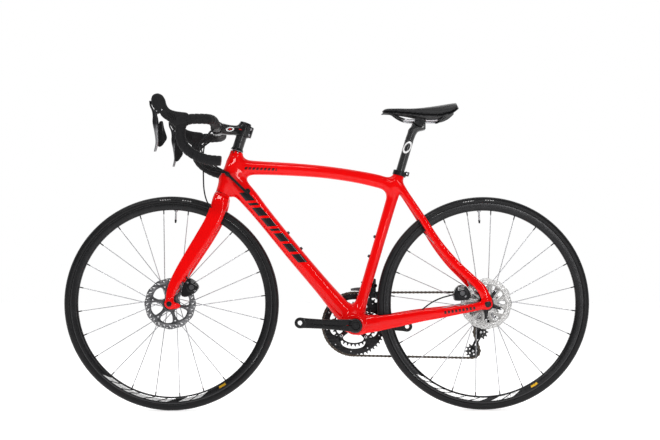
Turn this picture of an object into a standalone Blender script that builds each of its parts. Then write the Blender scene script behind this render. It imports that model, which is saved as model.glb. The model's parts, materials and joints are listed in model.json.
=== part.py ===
"""A drop-bar road bicycle with disc brakes, as separate sub-parts.

Metres, +Z up. The front is towards -X and the left side is at -Y. The origin is the centre of the rear axle.
"""

import math

import bmesh
import bpy
from mathutils import Matrix, Vector

# ------------------------------------------------------------------ driving dimensions
GAP = 0.0003

WHEEL_BASE = 0.984
TYRE_RADIUS = 0.337
TYRE_HALF_WIDTH = 0.013
RIM_OUTER = 0.316
RIM_INNER = 0.2935
WHEEL_STEPS = 40
SPOKES_PER_SIDE = 12
SPOKE_RADIUS = 0.0011
ROTOR_RADIUS = 0.080
ROTOR_THICKNESS = 0.0018
AXLE_RADIUS = 0.006

BB = Vector((-0.4078, 0.0, -0.0675))
CRANK_LENGTH = 0.1725
CRANK_ANGLE = math.radians(3.0)
SPINDLE_RADIUS = 0.012

PITCH = 0.0127
CHAIN_LINKS = 108
BIG_RING_TEETH = 50
SMALL_RING_TEETH = 34
ACTIVE_COG_TEETH = 17
PULLEY_TEETH = 11
COGS = (11, 12, 13, 14, 15, 17, 19, 21, 24, 27, 30)
COG_SPACING = 0.00372
COG_THICKNESS = 0.0016
CARRIER_RADIUS = 0.0172
CHAIN_PLANE = 0.0486
RING_SPACING = 0.0076
GUIDE_PULLEY = Vector((0.0, CHAIN_PLANE, -0.0935))
CAGE_LENGTH = 0.066

HEAD_LEAN = math.radians(18.0)
HEAD_AXIS = Vector((math.sin(HEAD_LEAN), 0.0, math.cos(HEAD_LEAN)))
HEAD_FOOT = Vector((-0.936, 0.0, 0.0))
STEERER_RADIUS = 0.0143
SEAT_LEAN = math.radians(16.5)
SEAT_AXIS = Vector((math.sin(SEAT_LEAN), 0.0, math.cos(SEAT_LEAN)))
SEAT_TUBE_LENGTH = 0.500
POST_RADIUS = 0.0136

BAR_CENTRE = Vector((-0.840, 0.0, 0.551))
BAR_CLAMP_RADIUS = 0.0159
TAPE_RADIUS = 0.0155
HOOD_Y = 0.2005

FRONT_AXLE = Vector((-WHEEL_BASE, 0.0, 0.0))
REAR_AXLE = Vector((0.0, 0.0, 0.0))
BESIDE = Vector((0.0, 1.0, 0.0))
FRONT_ROTOR_Y = -0.0385
REAR_ROTOR_Y = -0.052
SIDES = (("left", -1), ("right", 1))

# ------------------------------------------------------------------ scene and materials


def clear_scene():
    for obj in list(bpy.data.objects):
        bpy.data.objects.remove(obj, do_unlink=True)


def new_collection(name, helpers=False):
    made = bpy.data.collections.new(name)
    bpy.context.scene.collection.children.link(made)
    made.hide_render = helpers
    return made


clear_scene()
PARTS = new_collection("road_bicycle")
CUTTERS = new_collection("cutters", helpers=True)


def finish(name, colour, roughness, metallic=0.0):
    material = bpy.data.materials.new(name)
    material.use_nodes = True
    shader = material.node_tree.nodes["Principled BSDF"]
    shader.inputs["Base Color"].default_value = (*colour, 1.0)
    shader.inputs["Roughness"].default_value = roughness
    shader.inputs["Metallic"].default_value = metallic
    return material


FINISHES = {
    "red": ((0.78, 0.004, 0.004), 0.12, 0.0),
    "black": ((0.012, 0.012, 0.013), 0.30, 0.0),
    "rubber": ((0.016, 0.016, 0.017), 0.75, 0.0),
    "anodised": ((0.015, 0.015, 0.016), 0.32, 0.8),
    "steel": ((0.62, 0.62, 0.63), 0.25, 1.0),
    "grey_steel": ((0.10, 0.10, 0.11), 0.35, 1.0),
    "chain_steel": ((0.07, 0.06, 0.05), 0.40, 1.0),
}

# ------------------------------------------------------------------ shapes, each a mesh in world coordinates


def baked(obj):
    """The evaluated mesh of a helper object in world coordinates; the helper goes."""
    bpy.context.view_layer.update()
    graph = bpy.context.evaluated_depsgraph_get()
    mesh = bpy.data.meshes.new_from_object(obj.evaluated_get(graph))
    mesh.transform(obj.matrix_world)
    bpy.data.objects.remove(obj, do_unlink=True)
    work = bmesh.new()
    work.from_mesh(mesh)
    bmesh.ops.remove_doubles(work, verts=work.verts, dist=0.000002)
    bmesh.ops.recalc_face_normals(work, faces=work.faces)
    work.to_mesh(mesh)
    work.free()
    return mesh


def helper(data, location=(0, 0, 0), rotation=(0, 0, 0)):
    obj = bpy.data.objects.new("helper", data)
    obj.location = location
    obj.rotation_euler = rotation
    CUTTERS.objects.link(obj)
    return obj


def aligned(direction):
    return Vector(direction).to_track_quat("Z", "Y").to_matrix().to_4x4()


def rod(start, end, radius, sides=12, end_radius=None):
    """A straight round rod or cone between two points."""
    start = Vector(start)
    span = Vector(end) - start
    work = bmesh.new()
    bmesh.ops.create_cone(
        work,
        cap_ends=True,
        segments=sides,
        radius1=radius,
        radius2=radius if end_radius is None else end_radius,
        depth=span.length,
        matrix=Matrix.Translation(start + span / 2) @ aligned(span),
    )
    mesh = bpy.data.meshes.new("rod")
    work.to_mesh(mesh)
    work.free()
    return mesh


def cross_rod(centre, radius, y_low, y_high, sides=12):
    """A rod across the bicycle, round the point's X and Z."""
    return rod((centre[0], y_low, centre[2]), (centre[0], y_high, centre[2]), radius, sides)


def box(low, high, turn=None):
    low, high = Vector(low), Vector(high)
    work = bmesh.new()
    bmesh.ops.create_cube(work, size=1.0)
    size = high - low
    bmesh.ops.scale(work, vec=size, verts=work.verts)
    bmesh.ops.transform(work, matrix=(turn or Matrix()), verts=work.verts)
    bmesh.ops.translate(work, vec=(low + high) / 2, verts=work.verts)
    mesh = bpy.data.meshes.new("box")
    work.to_mesh(mesh)
    work.free()
    return mesh


def turned(loop, centre, axis=BESIDE, steps=24):
    """A closed ring: a loop of (radius, distance along the axis) turned round the axis."""
    area = sum(a[0] * b[1] - b[0] * a[1] for a, b in zip(loop, loop[1:] + loop[:1]))
    ordered = loop if area < 0 else loop[::-1]
    mesh = bpy.data.meshes.new("profile")
    points = [(radius, 0.0, height) for radius, height in ordered]
    edges = [(i, (i + 1) % len(points)) for i in range(len(points))]
    mesh.from_pydata(points, edges, [])
    obj = helper(mesh)
    obj.matrix_world = Matrix.Translation(centre) @ aligned(axis)
    screw = obj.modifiers.new("turn", "SCREW")
    screw.steps = steps
    screw.render_steps = steps
    screw.use_merge_vertices = True
    screw.merge_threshold = 0.00001
    return baked(obj)


def ring(inner, outer, low, high, centre, axis=BESIDE, steps=24):
    return turned([(inner, low), (outer, low), (outer, high), (inner, high)], centre, axis, steps)


def plate(outlines, y_low, y_high):
    """A flat plate across Y. The outlines are (x, z) loops; those inside another are its holes."""
    curve = bpy.data.curves.new("plate", "CURVE")
    curve.dimensions = "2D"
    curve.fill_mode = "BOTH"
    curve.extrude = (y_high - y_low) / 2
    for outline in outlines:
        spline = curve.splines.new("POLY")
        spline.points.add(len(outline) - 1)
        for point, (x, z) in zip(spline.points, outline):
            point.co = (x, z, 0.0, 1.0)
        spline.use_cyclic_u = True
    return baked(helper(curve, (0, (y_low + y_high) / 2, 0), (math.pi / 2, 0, 0)))


def tube(points, radius, resolution=2):
    curve = bpy.data.curves.new("tube", "CURVE")
    curve.dimensions = "3D"
    curve.bevel_depth = radius
    curve.bevel_resolution = resolution
    curve.use_fill_caps = True
    spline = curve.splines.new("POLY")
    spline.points.add(len(points) - 1)
    for point, place in zip(spline.points, points):
        point.co = (*place, 1.0)
    return baked(helper(curve))


def section(width, depth, sides, power):
    """A rounded section, as offsets (beside, above)."""
    found = []
    for i in range(sides):
        angle = 2 * math.pi * (i + 0.5) / sides
        c, s = math.cos(angle), math.sin(angle)
        found.append(
            (
                math.copysign(abs(c) ** (2 / power), c) * width / 2,
                math.copysign(abs(s) ** (2 / power), s) * depth / 2,
            )
        )
    return found


def skin(rings, caps=True, closed=False):
    """Faces between neighbouring rings of points."""
    work = bmesh.new()
    made = [[work.verts.new(point) for point in ring_points] for ring_points in rings]
    pairs = list(zip(made, made[1:] + made[:1])) if closed else list(zip(made, made[1:]))
    for first, second in pairs:
        for i in range(len(first)):
            j = (i + 1) % len(first)
            work.faces.new((first[i], first[j], second[j], second[i]))
    if caps and not closed:
        work.faces.new(made[0][::-1])
        work.faces.new(made[-1])
    bmesh.ops.recalc_face_normals(work, faces=work.faces)
    mesh = bpy.data.meshes.new("skin")
    work.to_mesh(mesh)
    work.free()
    return mesh


def path_frames(centres):
    """(centre, beside, above) along a path; beside starts as near to +Y as it can and never twists."""
    frames = []
    beside = None
    for i, centre in enumerate(centres):
        along = centres[min(i + 1, len(centres) - 1)] - centres[max(i - 1, 0)]
        along.normalize()
        if beside is None:
            beside = BESIDE if abs(along.y) < 0.9 else Vector((1.0, 0.0, 0.0))
        beside = (beside - along * along.dot(beside)).normalized()
        frames.append((centre, beside, along.cross(beside)))
    return frames


def loft(stations, sides=12, power=2.4):
    """A body through stations of (x, y, z, depth, width)."""
    frames = path_frames([Vector(s[:3]) for s in stations])
    rings = []
    for (centre, beside, above), (*_, depth, width) in zip(frames, stations):
        outline = section(width, depth, sides, power)
        rings.append([centre + beside * a + above * b for a, b in outline])
    return skin(rings)


def sleeve(points, inner, outer, sides=8):
    """A hollow tube along a path."""
    frames = path_frames([Vector(p) for p in points])
    rings = []
    for radius, order in ((outer, frames), (inner, frames[::-1])):
        for centre, beside, above in order:
            outline = section(2 * radius, 2 * radius, sides, 2.0)
            rings.append([centre + beside * a + above * b for a, b in outline])
    return skin(rings, closed=True)


def mirrored(mesh):
    """The same shape on the other side of the mid-plane."""
    copy = mesh.copy()
    copy.transform(Matrix.Scale(-1, 4, BESIDE))
    copy.flip_normals()
    return copy


def on_side(mesh, side):
    """Shapes are drawn at +Y, the right side."""
    return mesh if side > 0 else mirrored(mesh)


# ------------------------------------------------------------------ nodes


def empty(name, place, parent=None):
    obj = bpy.data.objects.new(name, None)
    PARTS.objects.link(obj)
    obj.empty_display_size = 0.02
    obj.location = Vector(place) - (parent["at"] if parent else Vector())
    obj.parent = parent["object"] if parent else None
    return {"object": obj, "at": Vector(place)}


def node(name, base, colour, joined=(), cut=(), body=None, smooth=False):
    """One sub-part: a base shape with others joined to it and cut from it, on its body's empty."""
    at = body["at"] if body else Vector()
    obj = bpy.data.objects.new(name, base)
    base.name = name
    base.transform(Matrix.Translation(-at))
    base.materials.clear()
    base.materials.append(finish(name, *FINISHES[colour]))
    for polygon in base.polygons:
        polygon.use_smooth = smooth
    PARTS.objects.link(obj)
    obj.parent = body["object"] if body else None
    for operation, shapes in (("UNION", joined), ("DIFFERENCE", cut)):
        for number, shape in enumerate(shapes):
            cutter = bpy.data.objects.new(f"{name}.{operation.lower()}.{number}", shape)
            CUTTERS.objects.link(cutter)
            cutter.hide_render = True
            cutter.display_type = "WIRE"
            step = obj.modifiers.new(f"{operation.lower()} {number}", "BOOLEAN")
            step.operation = operation
            step.solver = "EXACT"
            step.object = cutter
    return obj


# ------------------------------------------------------------------ places on the bicycle


def on_head(distance, y=0.0):
    """A point on the steering axis, by distance up it from axle height."""
    return HEAD_FOOT + HEAD_AXIS * distance + BESIDE * y


def on_seat(distance, y=0.0):
    """A point on the seat tube's axis, by distance up it from the bottom bracket."""
    return BB + SEAT_AXIS * distance + BESIDE * y


def circle(centre, radius, count, start=0.0):
    return [
        (
            centre[0] + radius * math.cos(start + 2 * math.pi * i / count),
            centre[1] + radius * math.sin(start + 2 * math.pi * i / count),
        )
        for i in range(count)
    ]


def bar_outline(first, second, first_radius, second_radius, steps=7):
    """Two round ends and the straight sides between them, as an (x, z) loop."""
    away = math.atan2(second[1] - first[1], second[0] - first[0])
    found = []
    for centre, radius, facing in ((first, first_radius, away + math.pi), (second, second_radius, away)):
        for i in range(steps):
            angle = facing - math.pi / 2 + math.pi * i / (steps - 1)
            found.append((centre[0] + radius * math.cos(angle), centre[1] + radius * math.sin(angle)))
    return found


# ------------------------------------------------------------------ chain drive


def pitch_radius(teeth):
    return PITCH / (2 * math.sin(math.pi / teeth))


def chain_wheels(cage_angle):
    """The four wheels in the order that the chain meets them: (centre, teeth, turning sense)."""
    tension = (
        GUIDE_PULLEY.x - CAGE_LENGTH * math.sin(cage_angle),
        GUIDE_PULLEY.z - CAGE_LENGTH * math.cos(cage_angle),
    )
    return [
        ((REAR_AXLE.x, REAR_AXLE.z), ACTIVE_COG_TEETH, 1),
        ((BB.x, BB.z), BIG_RING_TEETH, 1),
        (tension, PULLEY_TEETH, 1),
        ((GUIDE_PULLEY.x, GUIDE_PULLEY.z), PULLEY_TEETH, -1),
    ]


def straight_runs(wheels):
    """The tangent run from each wheel to the next: (start, end, direction)."""
    runs = []
    for (a, teeth_a, sense_a), (b, teeth_b, sense_b) in zip(wheels, wheels[1:] + wheels[:1]):
        reach = math.dist(a, b)
        offset_a = sense_a * pitch_radius(teeth_a)
        offset_b = sense_b * pitch_radius(teeth_b)
        direction = math.atan2(b[1] - a[1], b[0] - a[0]) - math.asin((offset_b - offset_a) / reach)
        left = (-math.sin(direction), math.cos(direction))
        start = (a[0] - offset_a * left[0], a[1] - offset_a * left[1])
        end = (b[0] - offset_b * left[0], b[1] - offset_b * left[1])
        runs.append((start, end, direction))
    return runs


def wraps(wheels, runs):
    """The angle that the chain wraps round the wheel at the end of each run."""
    found = []
    for i, (_, _, direction) in enumerate(runs):
        _, _, sense = wheels[(i + 1) % len(wheels)]
        leaving = runs[(i + 1) % len(runs)][2]
        found.append(((leaving - direction) * sense) % (2 * math.pi))
    return found


def loop_pitches(cage_angle):
    wheels = chain_wheels(cage_angle)
    runs = straight_runs(wheels)
    total = sum(math.dist(start, end) / PITCH for start, end, _ in runs)
    for i, angle in enumerate(wraps(wheels, runs)):
        total += angle / (2 * math.pi) * wheels[(i + 1) % len(wheels)][1]
    return total


def solve_cage_angle():
    """The cage angle at which the chain loop is a whole number of links."""
    low, high = 0.0, math.radians(50)
    for _ in range(60):
        middle = (low + high) / 2
        if loop_pitches(middle) > CHAIN_LINKS:
            low = middle
        else:
            high = middle
    return (low + high) / 2


CAGE_ANGLE = solve_cage_angle()
WHEELS = chain_wheels(CAGE_ANGLE)
RUNS = straight_runs(WHEELS)
WRAPS = wraps(WHEELS, RUNS)
TENSION_PULLEY = Vector((WHEELS[2][0][0], CHAIN_PLANE, WHEELS[2][0][1]))


def chain_layout():
    """(roller centres, tooth-gap angle of each wheel, corner points of the loop)."""
    rollers, phases, corners = [], {}, []
    travelled = 0.0
    for i, (start, end, direction) in enumerate(RUNS):
        length = math.dist(start, end) / PITCH
        for k in range(math.ceil(travelled), math.ceil(travelled + length)):
            share = (k - travelled) / length
            rollers.append((start[0] + (end[0] - start[0]) * share, start[1] + (end[1] - start[1]) * share))
        travelled += length
        centre, teeth, sense = WHEELS[(i + 1) % len(WHEELS)]
        step = 2 * math.pi / teeth
        entry = math.atan2(end[1] - centre[1], end[0] - centre[0])
        phases[(i + 1) % len(WHEELS)] = entry - sense * travelled * step
        turn = WRAPS[i] / step
        corners.append(end)
        for k in range(math.ceil(travelled), math.ceil(travelled + turn)):
            angle = entry + sense * (k - travelled) * step
            radius = pitch_radius(teeth)
            rollers.append((centre[0] + radius * math.cos(angle), centre[1] + radius * math.sin(angle)))
            corners.append(rollers[-1])
        travelled += turn
        corners.append(RUNS[(i + 1) % len(RUNS)][0])
    spaced = [corners[0]]
    for point in corners[1:]:
        if math.dist(point, spaced[-1]) > PITCH / 3:
            spaced.append(point)
    return rollers, phases, spaced


ROLLERS, PHASES, CHAIN_CORNERS = chain_layout()


def toothed(centre, teeth, gap_angle, flat_gaps=True):
    """A sprocket's outline with roller gaps at gap_angle and every tooth from it."""
    radius = pitch_radius(teeth)
    low, high = radius - 0.0041, radius + 0.0036
    found = []
    for i in range(teeth):
        gap = gap_angle + 2 * math.pi * i / teeth
        tooth = gap + math.pi / teeth
        half_gap = 0.0018 / low
        spots = [(gap - half_gap, low), (gap + half_gap, low)] if flat_gaps else [(gap, low)]
        spots.append((tooth, high))
        found += [(centre[0] + r * math.cos(angle), centre[1] + r * math.sin(angle)) for angle, r in spots]
    return found


def offset_loop(points, distance):
    """A closed path moved to its left by a distance."""
    found = []
    for i, (x, z) in enumerate(points):
        before, after = points[i - 1], points[(i + 1) % len(points)]
        direction = math.atan2(after[1] - before[1], after[0] - before[0])
        found.append((x - distance * math.sin(direction), z + distance * math.cos(direction)))
    return found


# ------------------------------------------------------------------ frame


def build_frame():
    head = loft(
        [
            (*on_head(0.3635), 0.047, 0.047),
            (*on_head(0.380), 0.047, 0.047),
            (*on_head(0.405), 0.040, 0.046),
            (*on_head(0.440), 0.036, 0.043),
            (*on_head(0.480), 0.037, 0.038),
            (*on_head(0.503), 0.038, 0.038),
        ],
        sides=12,
        power=2.1,
    )
    down = loft(
        [
            (-0.812, 0, 0.410, 0.046, 0.036),
            (-0.785, 0, 0.380, 0.062, 0.044),
            (-0.745, 0, 0.337, 0.060, 0.048),
            (-0.700, 0, 0.282, 0.053, 0.048),
            (-0.600, 0, 0.159, 0.052, 0.050),
            (-0.500, 0, 0.041, 0.054, 0.056),
            (-0.450, 0, -0.018, 0.064, 0.062),
            (-0.412, 0, -0.062, 0.062, 0.066),
        ]
    )
    top = loft(
        [
            (-0.800, 0, 0.424, 0.040, 0.034),
            (-0.765, 0, 0.428, 0.062, 0.038),
            (-0.735, 0, 0.428, 0.050, 0.040),
            (-0.700, 0, 0.427, 0.044, 0.041),
            (-0.600, 0, 0.4225, 0.041, 0.042),
            (-0.500, 0, 0.4145, 0.039, 0.041),
            (-0.400, 0, 0.400, 0.040, 0.038),
            (-0.330, 0, 0.385, 0.045, 0.035),
            (-0.300, 0, 0.375, 0.052, 0.032),
            (-0.275, 0, 0.364, 0.048, 0.028),
        ]
    )
    seat = loft(
        [
            (*on_seat(0.000), 0.066, 0.060),
            (*on_seat(0.040), 0.050, 0.048),
            (*on_seat(0.080), 0.036, 0.038),
            (*on_seat(0.300), 0.0345, 0.035),
            (*on_seat(0.400), 0.036, 0.035),
            (*on_seat(0.450), 0.044, 0.035),
            (*on_seat(0.480), 0.0335, 0.0335),
            (*on_seat(SEAT_TUBE_LENGTH), 0.0330, 0.0330),
        ],
        sides=12,
        power=2.1,
    )
    chain_stay = loft(
        [
            (-0.400, 0.016, -0.069, 0.060, 0.026),
            (-0.352, 0.0265, -0.064, 0.054, 0.0185),
            (-0.301, 0.0355, -0.056, 0.045, 0.0165),
            (-0.250, 0.0445, -0.0465, 0.042, 0.0160),
            (-0.199, 0.0525, -0.037, 0.037, 0.0150),
            (-0.149, 0.0600, -0.0295, 0.033, 0.0140),
            (-0.098, 0.0668, -0.0215, 0.027, 0.0125),
            (-0.040, 0.0735, -0.0100, 0.025, 0.0095),
            (0.000, 0.0751, -0.001, 0.026, 0.0068),
        ],
        sides=8,
    )
    seat_stay = loft(
        [
            (-0.281, 0.008, 0.386, 0.030, 0.018),
            (-0.264, 0.0145, 0.367, 0.028, 0.021),
            (-0.250, 0.0195, 0.346, 0.0235, 0.0185),
            (-0.2245, 0.0250, 0.308, 0.0225, 0.0165),
            (-0.1975, 0.0305, 0.267, 0.0225, 0.0155),
            (-0.146, 0.0425, 0.186, 0.0240, 0.0145),
            (-0.097, 0.0540, 0.126, 0.0260, 0.0130),
            (-0.047, 0.0655, 0.077, 0.0270, 0.0115),
            (-0.018, 0.0740, 0.046, 0.031, 0.0085),
            (0.001, 0.0751, 0.006, 0.034, 0.0068),
        ],
        sides=8,
    )
    dropout = cross_rod(REAR_AXLE, 0.0165, 0.0713, 0.0785, sides=16)
    shell = cross_rod(BB, 0.0300, -0.0365, 0.0365, sides=20)
    bosses = []
    for x, z, away in BOTTLE_BOSSES:
        foot = Vector((x, 0.0, z))
        bosses.append(rod(foot - away * 0.012, foot, 0.006, sides=10))
    node(
        "frame",
        head,
        "red",
        joined=[
            down,
            top,
            seat,
            shell,
            chain_stay,
            mirrored(chain_stay),
            seat_stay,
            mirrored(seat_stay),
            dropout,
            mirrored(dropout),
            *bosses,
        ],
        cut=[
            rod(on_head(0.350), on_head(0.520), 0.0157, sides=16),
            rod(on_head(0.350), on_head(0.375), 0.0211, sides=16),
            rod(on_head(0.4935), on_head(0.520), 0.0173, sides=16),
            rod(on_seat(0.320), on_seat(0.520), POST_RADIUS + GAP, sides=16),
            cross_rod(BB, 0.0210, -0.050, 0.050, sides=20),
            cross_rod(REAR_AXLE, AXLE_RADIUS + GAP, -0.090, 0.090),
        ],
    )


DOWN_UP = Vector((0.770, 0.0, 0.638))
SEAT_FORWARD = Vector((-SEAT_AXIS.z, 0.0, SEAT_AXIS.x))
BOTTLE_SPACING = 0.064
BOTTLE_BOSSES = (
    (-0.6170, 0.2235, DOWN_UP),
    (-0.6170 + BOTTLE_SPACING * DOWN_UP.z, 0.2235 - BOTTLE_SPACING * DOWN_UP.x, DOWN_UP),
    (*(on_seat(0.285) + SEAT_FORWARD * 0.0195).xz, SEAT_FORWARD),
    (*(on_seat(0.285 - BOTTLE_SPACING) + SEAT_FORWARD * 0.0195).xz, SEAT_FORWARD),
)


def build_bearings():
    for name, radius, distance in (("lower", 0.0205, 0.3675), ("upper", 0.0169, 0.4945)):
        race = ring(STEERER_RADIUS + GAP, radius, 0.0, 0.0065, on_head(distance), HEAD_AXIS)
        node(f"headset_bearing_{name}", race, "steel")
    for name, side in SIDES:
        cup = turned(
            [
                (SPINDLE_RADIUS + GAP, 0.0270),
                (0.0207, 0.0270),
                (0.0207, 0.0368),
                (0.0245, 0.0368),
                (0.0245, 0.0388),
                (SPINDLE_RADIUS + GAP, 0.0388),
            ],
            BB,
            BESIDE * side,
            steps=20,
        )
        node(f"bb_bearing_{name}", cup, "anodised")


def build_seat_clamp():
    collar = on_seat(SEAT_TUBE_LENGTH)
    bore, lip = 0.0171, POST_RADIUS + 2 * GAP
    loop = [(bore, -0.0090), (0.0215, -0.0090), (0.0215, 0.0060)]
    loop += [(lip, 0.0060), (lip, 0.0010), (bore, 0.0010)]
    lug_centre = collar + Vector((0.0240, 0.0, -0.0015))
    lug = box((-0.0065, -0.0070, -0.0060), (0.0065, 0.0070, 0.0060), Matrix.Rotation(SEAT_LEAN, 4, "Y"))
    lug.transform(Matrix.Translation(lug_centre))
    slot = box((-0.0085, -0.0008, -0.0100), (0.0105, 0.0008, 0.0100))
    slot.transform(Matrix.Translation(lug_centre))
    node("seat_clamp", turned(loop, collar, SEAT_AXIS, steps=20), "black", joined=[lug], cut=[slot])


# ------------------------------------------------------------------ wheels


def build_wheel(prefix, axle, body, valve_angle, hub_loop, flanges, rotor_y):
    half = TYRE_HALF_WIDTH
    middle = TYRE_RADIUS - half
    tyre_loop = [
        (RIM_OUTER + GAP, -0.0098),
        (middle, -half),
        (middle + half * 0.72, -half * 0.70),
        (TYRE_RADIUS, 0.0),
        (middle + half * 0.72, half * 0.70),
        (middle, half),
        (RIM_OUTER + GAP, 0.0098),
    ]
    node(f"{prefix}_tyre", turned(tyre_loop, axle, steps=WHEEL_STEPS), "rubber", body=body)
    rim_loop = [
        (RIM_INNER, -0.0045),
        (RIM_INNER + 0.0055, -0.0095),
        (RIM_OUTER, -0.0108),
        (RIM_OUTER, -0.0085),
        (RIM_OUTER - 0.0065, 0.0),
        (RIM_OUTER, 0.0085),
        (RIM_OUTER, 0.0108),
        (RIM_INNER + 0.0055, 0.0095),
        (RIM_INNER, 0.0045),
    ]
    node(f"{prefix}_rim", turned(rim_loop, axle, steps=WHEEL_STEPS), "anodised", body=body)
    node(f"{prefix}_hub", turned(hub_loop, axle, steps=16), "anodised", body=body)
    spoke_step = 2 * math.pi / (2 * SPOKES_PER_SIDE)
    first = valve_angle + spoke_step / 2
    for (name, side), flange_y, shift in zip(SIDES, flanges, (0, 1)):
        spokes = []
        for i in range(SPOKES_PER_SIDE):
            rim_angle = first + spoke_step * (2 * i + shift)
            lead = 1 if i % 2 == 0 else -1
            hub_angle = rim_angle + lead * math.radians(60)
            hub_end = (SPOKE_HUB * math.cos(hub_angle), flange_y, SPOKE_HUB * math.sin(hub_angle))
            rim_end = (SPOKE_RIM * math.cos(rim_angle), side * 0.0015, SPOKE_RIM * math.sin(rim_angle))
            spokes.append(rod(axle + Vector(hub_end), axle + Vector(rim_end), SPOKE_RADIUS, sides=5))
        node(f"{prefix}_spokes_{name}", spokes[0], "steel", joined=spokes[1:], body=body)
    hub_hole = circle((axle.x, axle.z), ROTOR_BORE, 16)
    windows = []
    for i in range(ROTOR_ARMS):
        angle = 2 * math.pi * i / ROTOR_ARMS + 0.3
        centre = (axle.x + 0.0440 * math.cos(angle), axle.z + 0.0440 * math.sin(angle))
        windows.append(
            [
                (
                    centre[0] + 0.0185 * math.cos(a) * math.cos(angle) - 0.0165 * math.sin(a) * math.sin(angle),
                    centre[1] + 0.0185 * math.cos(a) * math.sin(angle) + 0.0165 * math.sin(a) * math.cos(angle),
                )
                for a in (2 * math.pi * k / 8 for k in range(8))
            ]
        )
    disc = plate(
        [circle((axle.x, axle.z), ROTOR_RADIUS, 36), hub_hole, *windows],
        rotor_y - ROTOR_THICKNESS / 2,
        rotor_y + ROTOR_THICKNESS / 2,
    )
    node(f"{prefix}_rotor", disc, "grey_steel" if prefix == "front" else "steel", body=body)


SPOKE_HUB = 0.0236
SPOKE_RIM = RIM_INNER * math.cos(math.pi / WHEEL_STEPS) - 3 * GAP
FLANGE_RADIUS = 0.0222
ROTOR_BORE = 0.0178
ROTOR_ARMS = 6


def hub_profile(left, right, left_flange, right_flange, rotor_y, bore):
    """A disc hub: end cap, rotor seat, flange, waist, flange and end cap, from left to right."""
    return [
        (bore, left),
        (0.0100, left),
        (0.0100, rotor_y - 0.0060),
        (ROTOR_BORE - GAP, rotor_y - 0.0055),
        (ROTOR_BORE - GAP, left_flange - 0.0035),
        (FLANGE_RADIUS, left_flange - 0.0022),
        (FLANGE_RADIUS, left_flange + 0.0022),
        (0.0130, left_flange + 0.0080),
        (0.0130, right_flange - 0.0080),
        (FLANGE_RADIUS, right_flange - 0.0022),
        (FLANGE_RADIUS, right_flange + 0.0022),
        (0.0150, right_flange + 0.0045),
        (0.0120, right),
        (bore, right),
    ]


def build_wheels(front_body, rear_body):
    bore = AXLE_RADIUS + GAP
    front_loop = hub_profile(-0.0497, 0.0497, -0.0240, 0.0330, FRONT_ROTOR_Y, bore)
    build_wheel(
        "front", FRONT_AXLE, front_body, math.radians(87.4), front_loop, (-0.0240, 0.0330), FRONT_ROTOR_Y
    )
    rear_loop = hub_profile(-0.0707, 0.0265, -0.0360, 0.0190, REAR_ROTOR_Y, bore)
    build_wheel("rear", REAR_AXLE, rear_body, math.radians(92.8), rear_loop, (-0.0360, 0.0190), REAR_ROTOR_Y)


def build_axles(steering):
    front = rod(FRONT_AXLE + BESIDE * -0.0640, FRONT_AXLE + BESIDE * 0.0630, AXLE_RADIUS)
    head = cross_rod(FRONT_AXLE, 0.0085, -0.0660, -0.0636)
    node("front_axle", front, "anodised", joined=[head], body=steering)
    rear = rod(REAR_AXLE + BESIDE * -0.0795, REAR_AXLE + BESIDE * 0.0845, AXLE_RADIUS)
    node("rear_axle", rear, "anodised", joined=[cross_rod(REAR_AXLE, 0.0105, -0.0815, -0.0789)])


def build_calipers(steering):
    """Each caliper straddles its rotor: two halves joined over the rotor's edge."""
    front_outline = [
        (-0.950, 0.024),
        (-0.934, 0.020),
        (-0.905, 0.034),
        (-0.893, 0.052),
        (-0.903, 0.070),
        (-0.922, 0.081),
        (-0.931, 0.078),
        (-0.944, 0.056),
    ]
    rear_outline = [
        (-0.100, 0.008),
        (-0.054, 0.012),
        (-0.049, 0.030),
        (-0.062, 0.052),
        (-0.082, 0.060),
        (-0.096, 0.050),
        (-0.103, 0.030),
    ]
    for name, outline, rotor_y, half, axle, body in (
        ("front_caliper", front_outline, FRONT_ROTOR_Y, 0.0135, FRONT_AXLE, steering),
        ("rear_caliper", rear_outline, REAR_ROTOR_Y, 0.0140, REAR_AXLE, None),
    ):
        slot = cross_rod(axle, ROTOR_RADIUS + 0.0015, rotor_y - 0.0022, rotor_y + 0.0022, sides=32)
        node(name, plate([outline], rotor_y - half, rotor_y + half), "black", cut=[slot], body=body)


# ------------------------------------------------------------------ drivetrain


def build_cassette(body):
    """All the cogs on their carrier: the one in mesh has its teeth, the others are plain discs."""
    bore = AXLE_RADIUS + GAP
    inboard, outboard = 0.0268, 0.0693
    smallest = CHAIN_PLANE + COGS.index(ACTIVE_COG_TEETH) * COG_SPACING
    loop = [(bore, outboard), (CARRIER_RADIUS, outboard)]
    for i, teeth in enumerate(COGS):
        if teeth == ACTIVE_COG_TEETH:
            continue
        y = smallest - i * COG_SPACING
        high, low = y + COG_THICKNESS / 2, y - COG_THICKNESS / 2
        radius = pitch_radius(teeth)
        loop += [(CARRIER_RADIUS, high), (radius, high), (radius, low), (CARRIER_RADIUS, low)]
    loop += [(CARRIER_RADIUS, inboard), (bore, inboard)]
    active = plate(
        [toothed((0.0, 0.0), ACTIVE_COG_TEETH, PHASES[0]), circle((0, 0), CARRIER_RADIUS - 0.002, 16)],
        CHAIN_PLANE - COG_THICKNESS / 2,
        CHAIN_PLANE + COG_THICKNESS / 2,
    )
    node("cassette", turned(loop, REAR_AXLE, steps=16), "steel", joined=[active], body=body)


def build_rings(body):
    centre = (BB.x, BB.z)
    outer = toothed(centre, BIG_RING_TEETH, PHASES[1])
    node(
        "chainring_outer",
        plate([outer, circle(centre, 0.0640, 32)], CHAIN_PLANE - 0.001, CHAIN_PLANE + 0.001),
        "anodised",
        body=body,
    )
    inner = toothed(centre, SMALL_RING_TEETH, 0.0, flat_gaps=False)
    inner_y = CHAIN_PLANE - RING_SPACING
    node(
        "chainring_inner",
        plate([inner, circle(centre, 0.0500, 24)], inner_y - 0.001, inner_y + 0.001),
        "anodised",
        body=body,
    )


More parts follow.
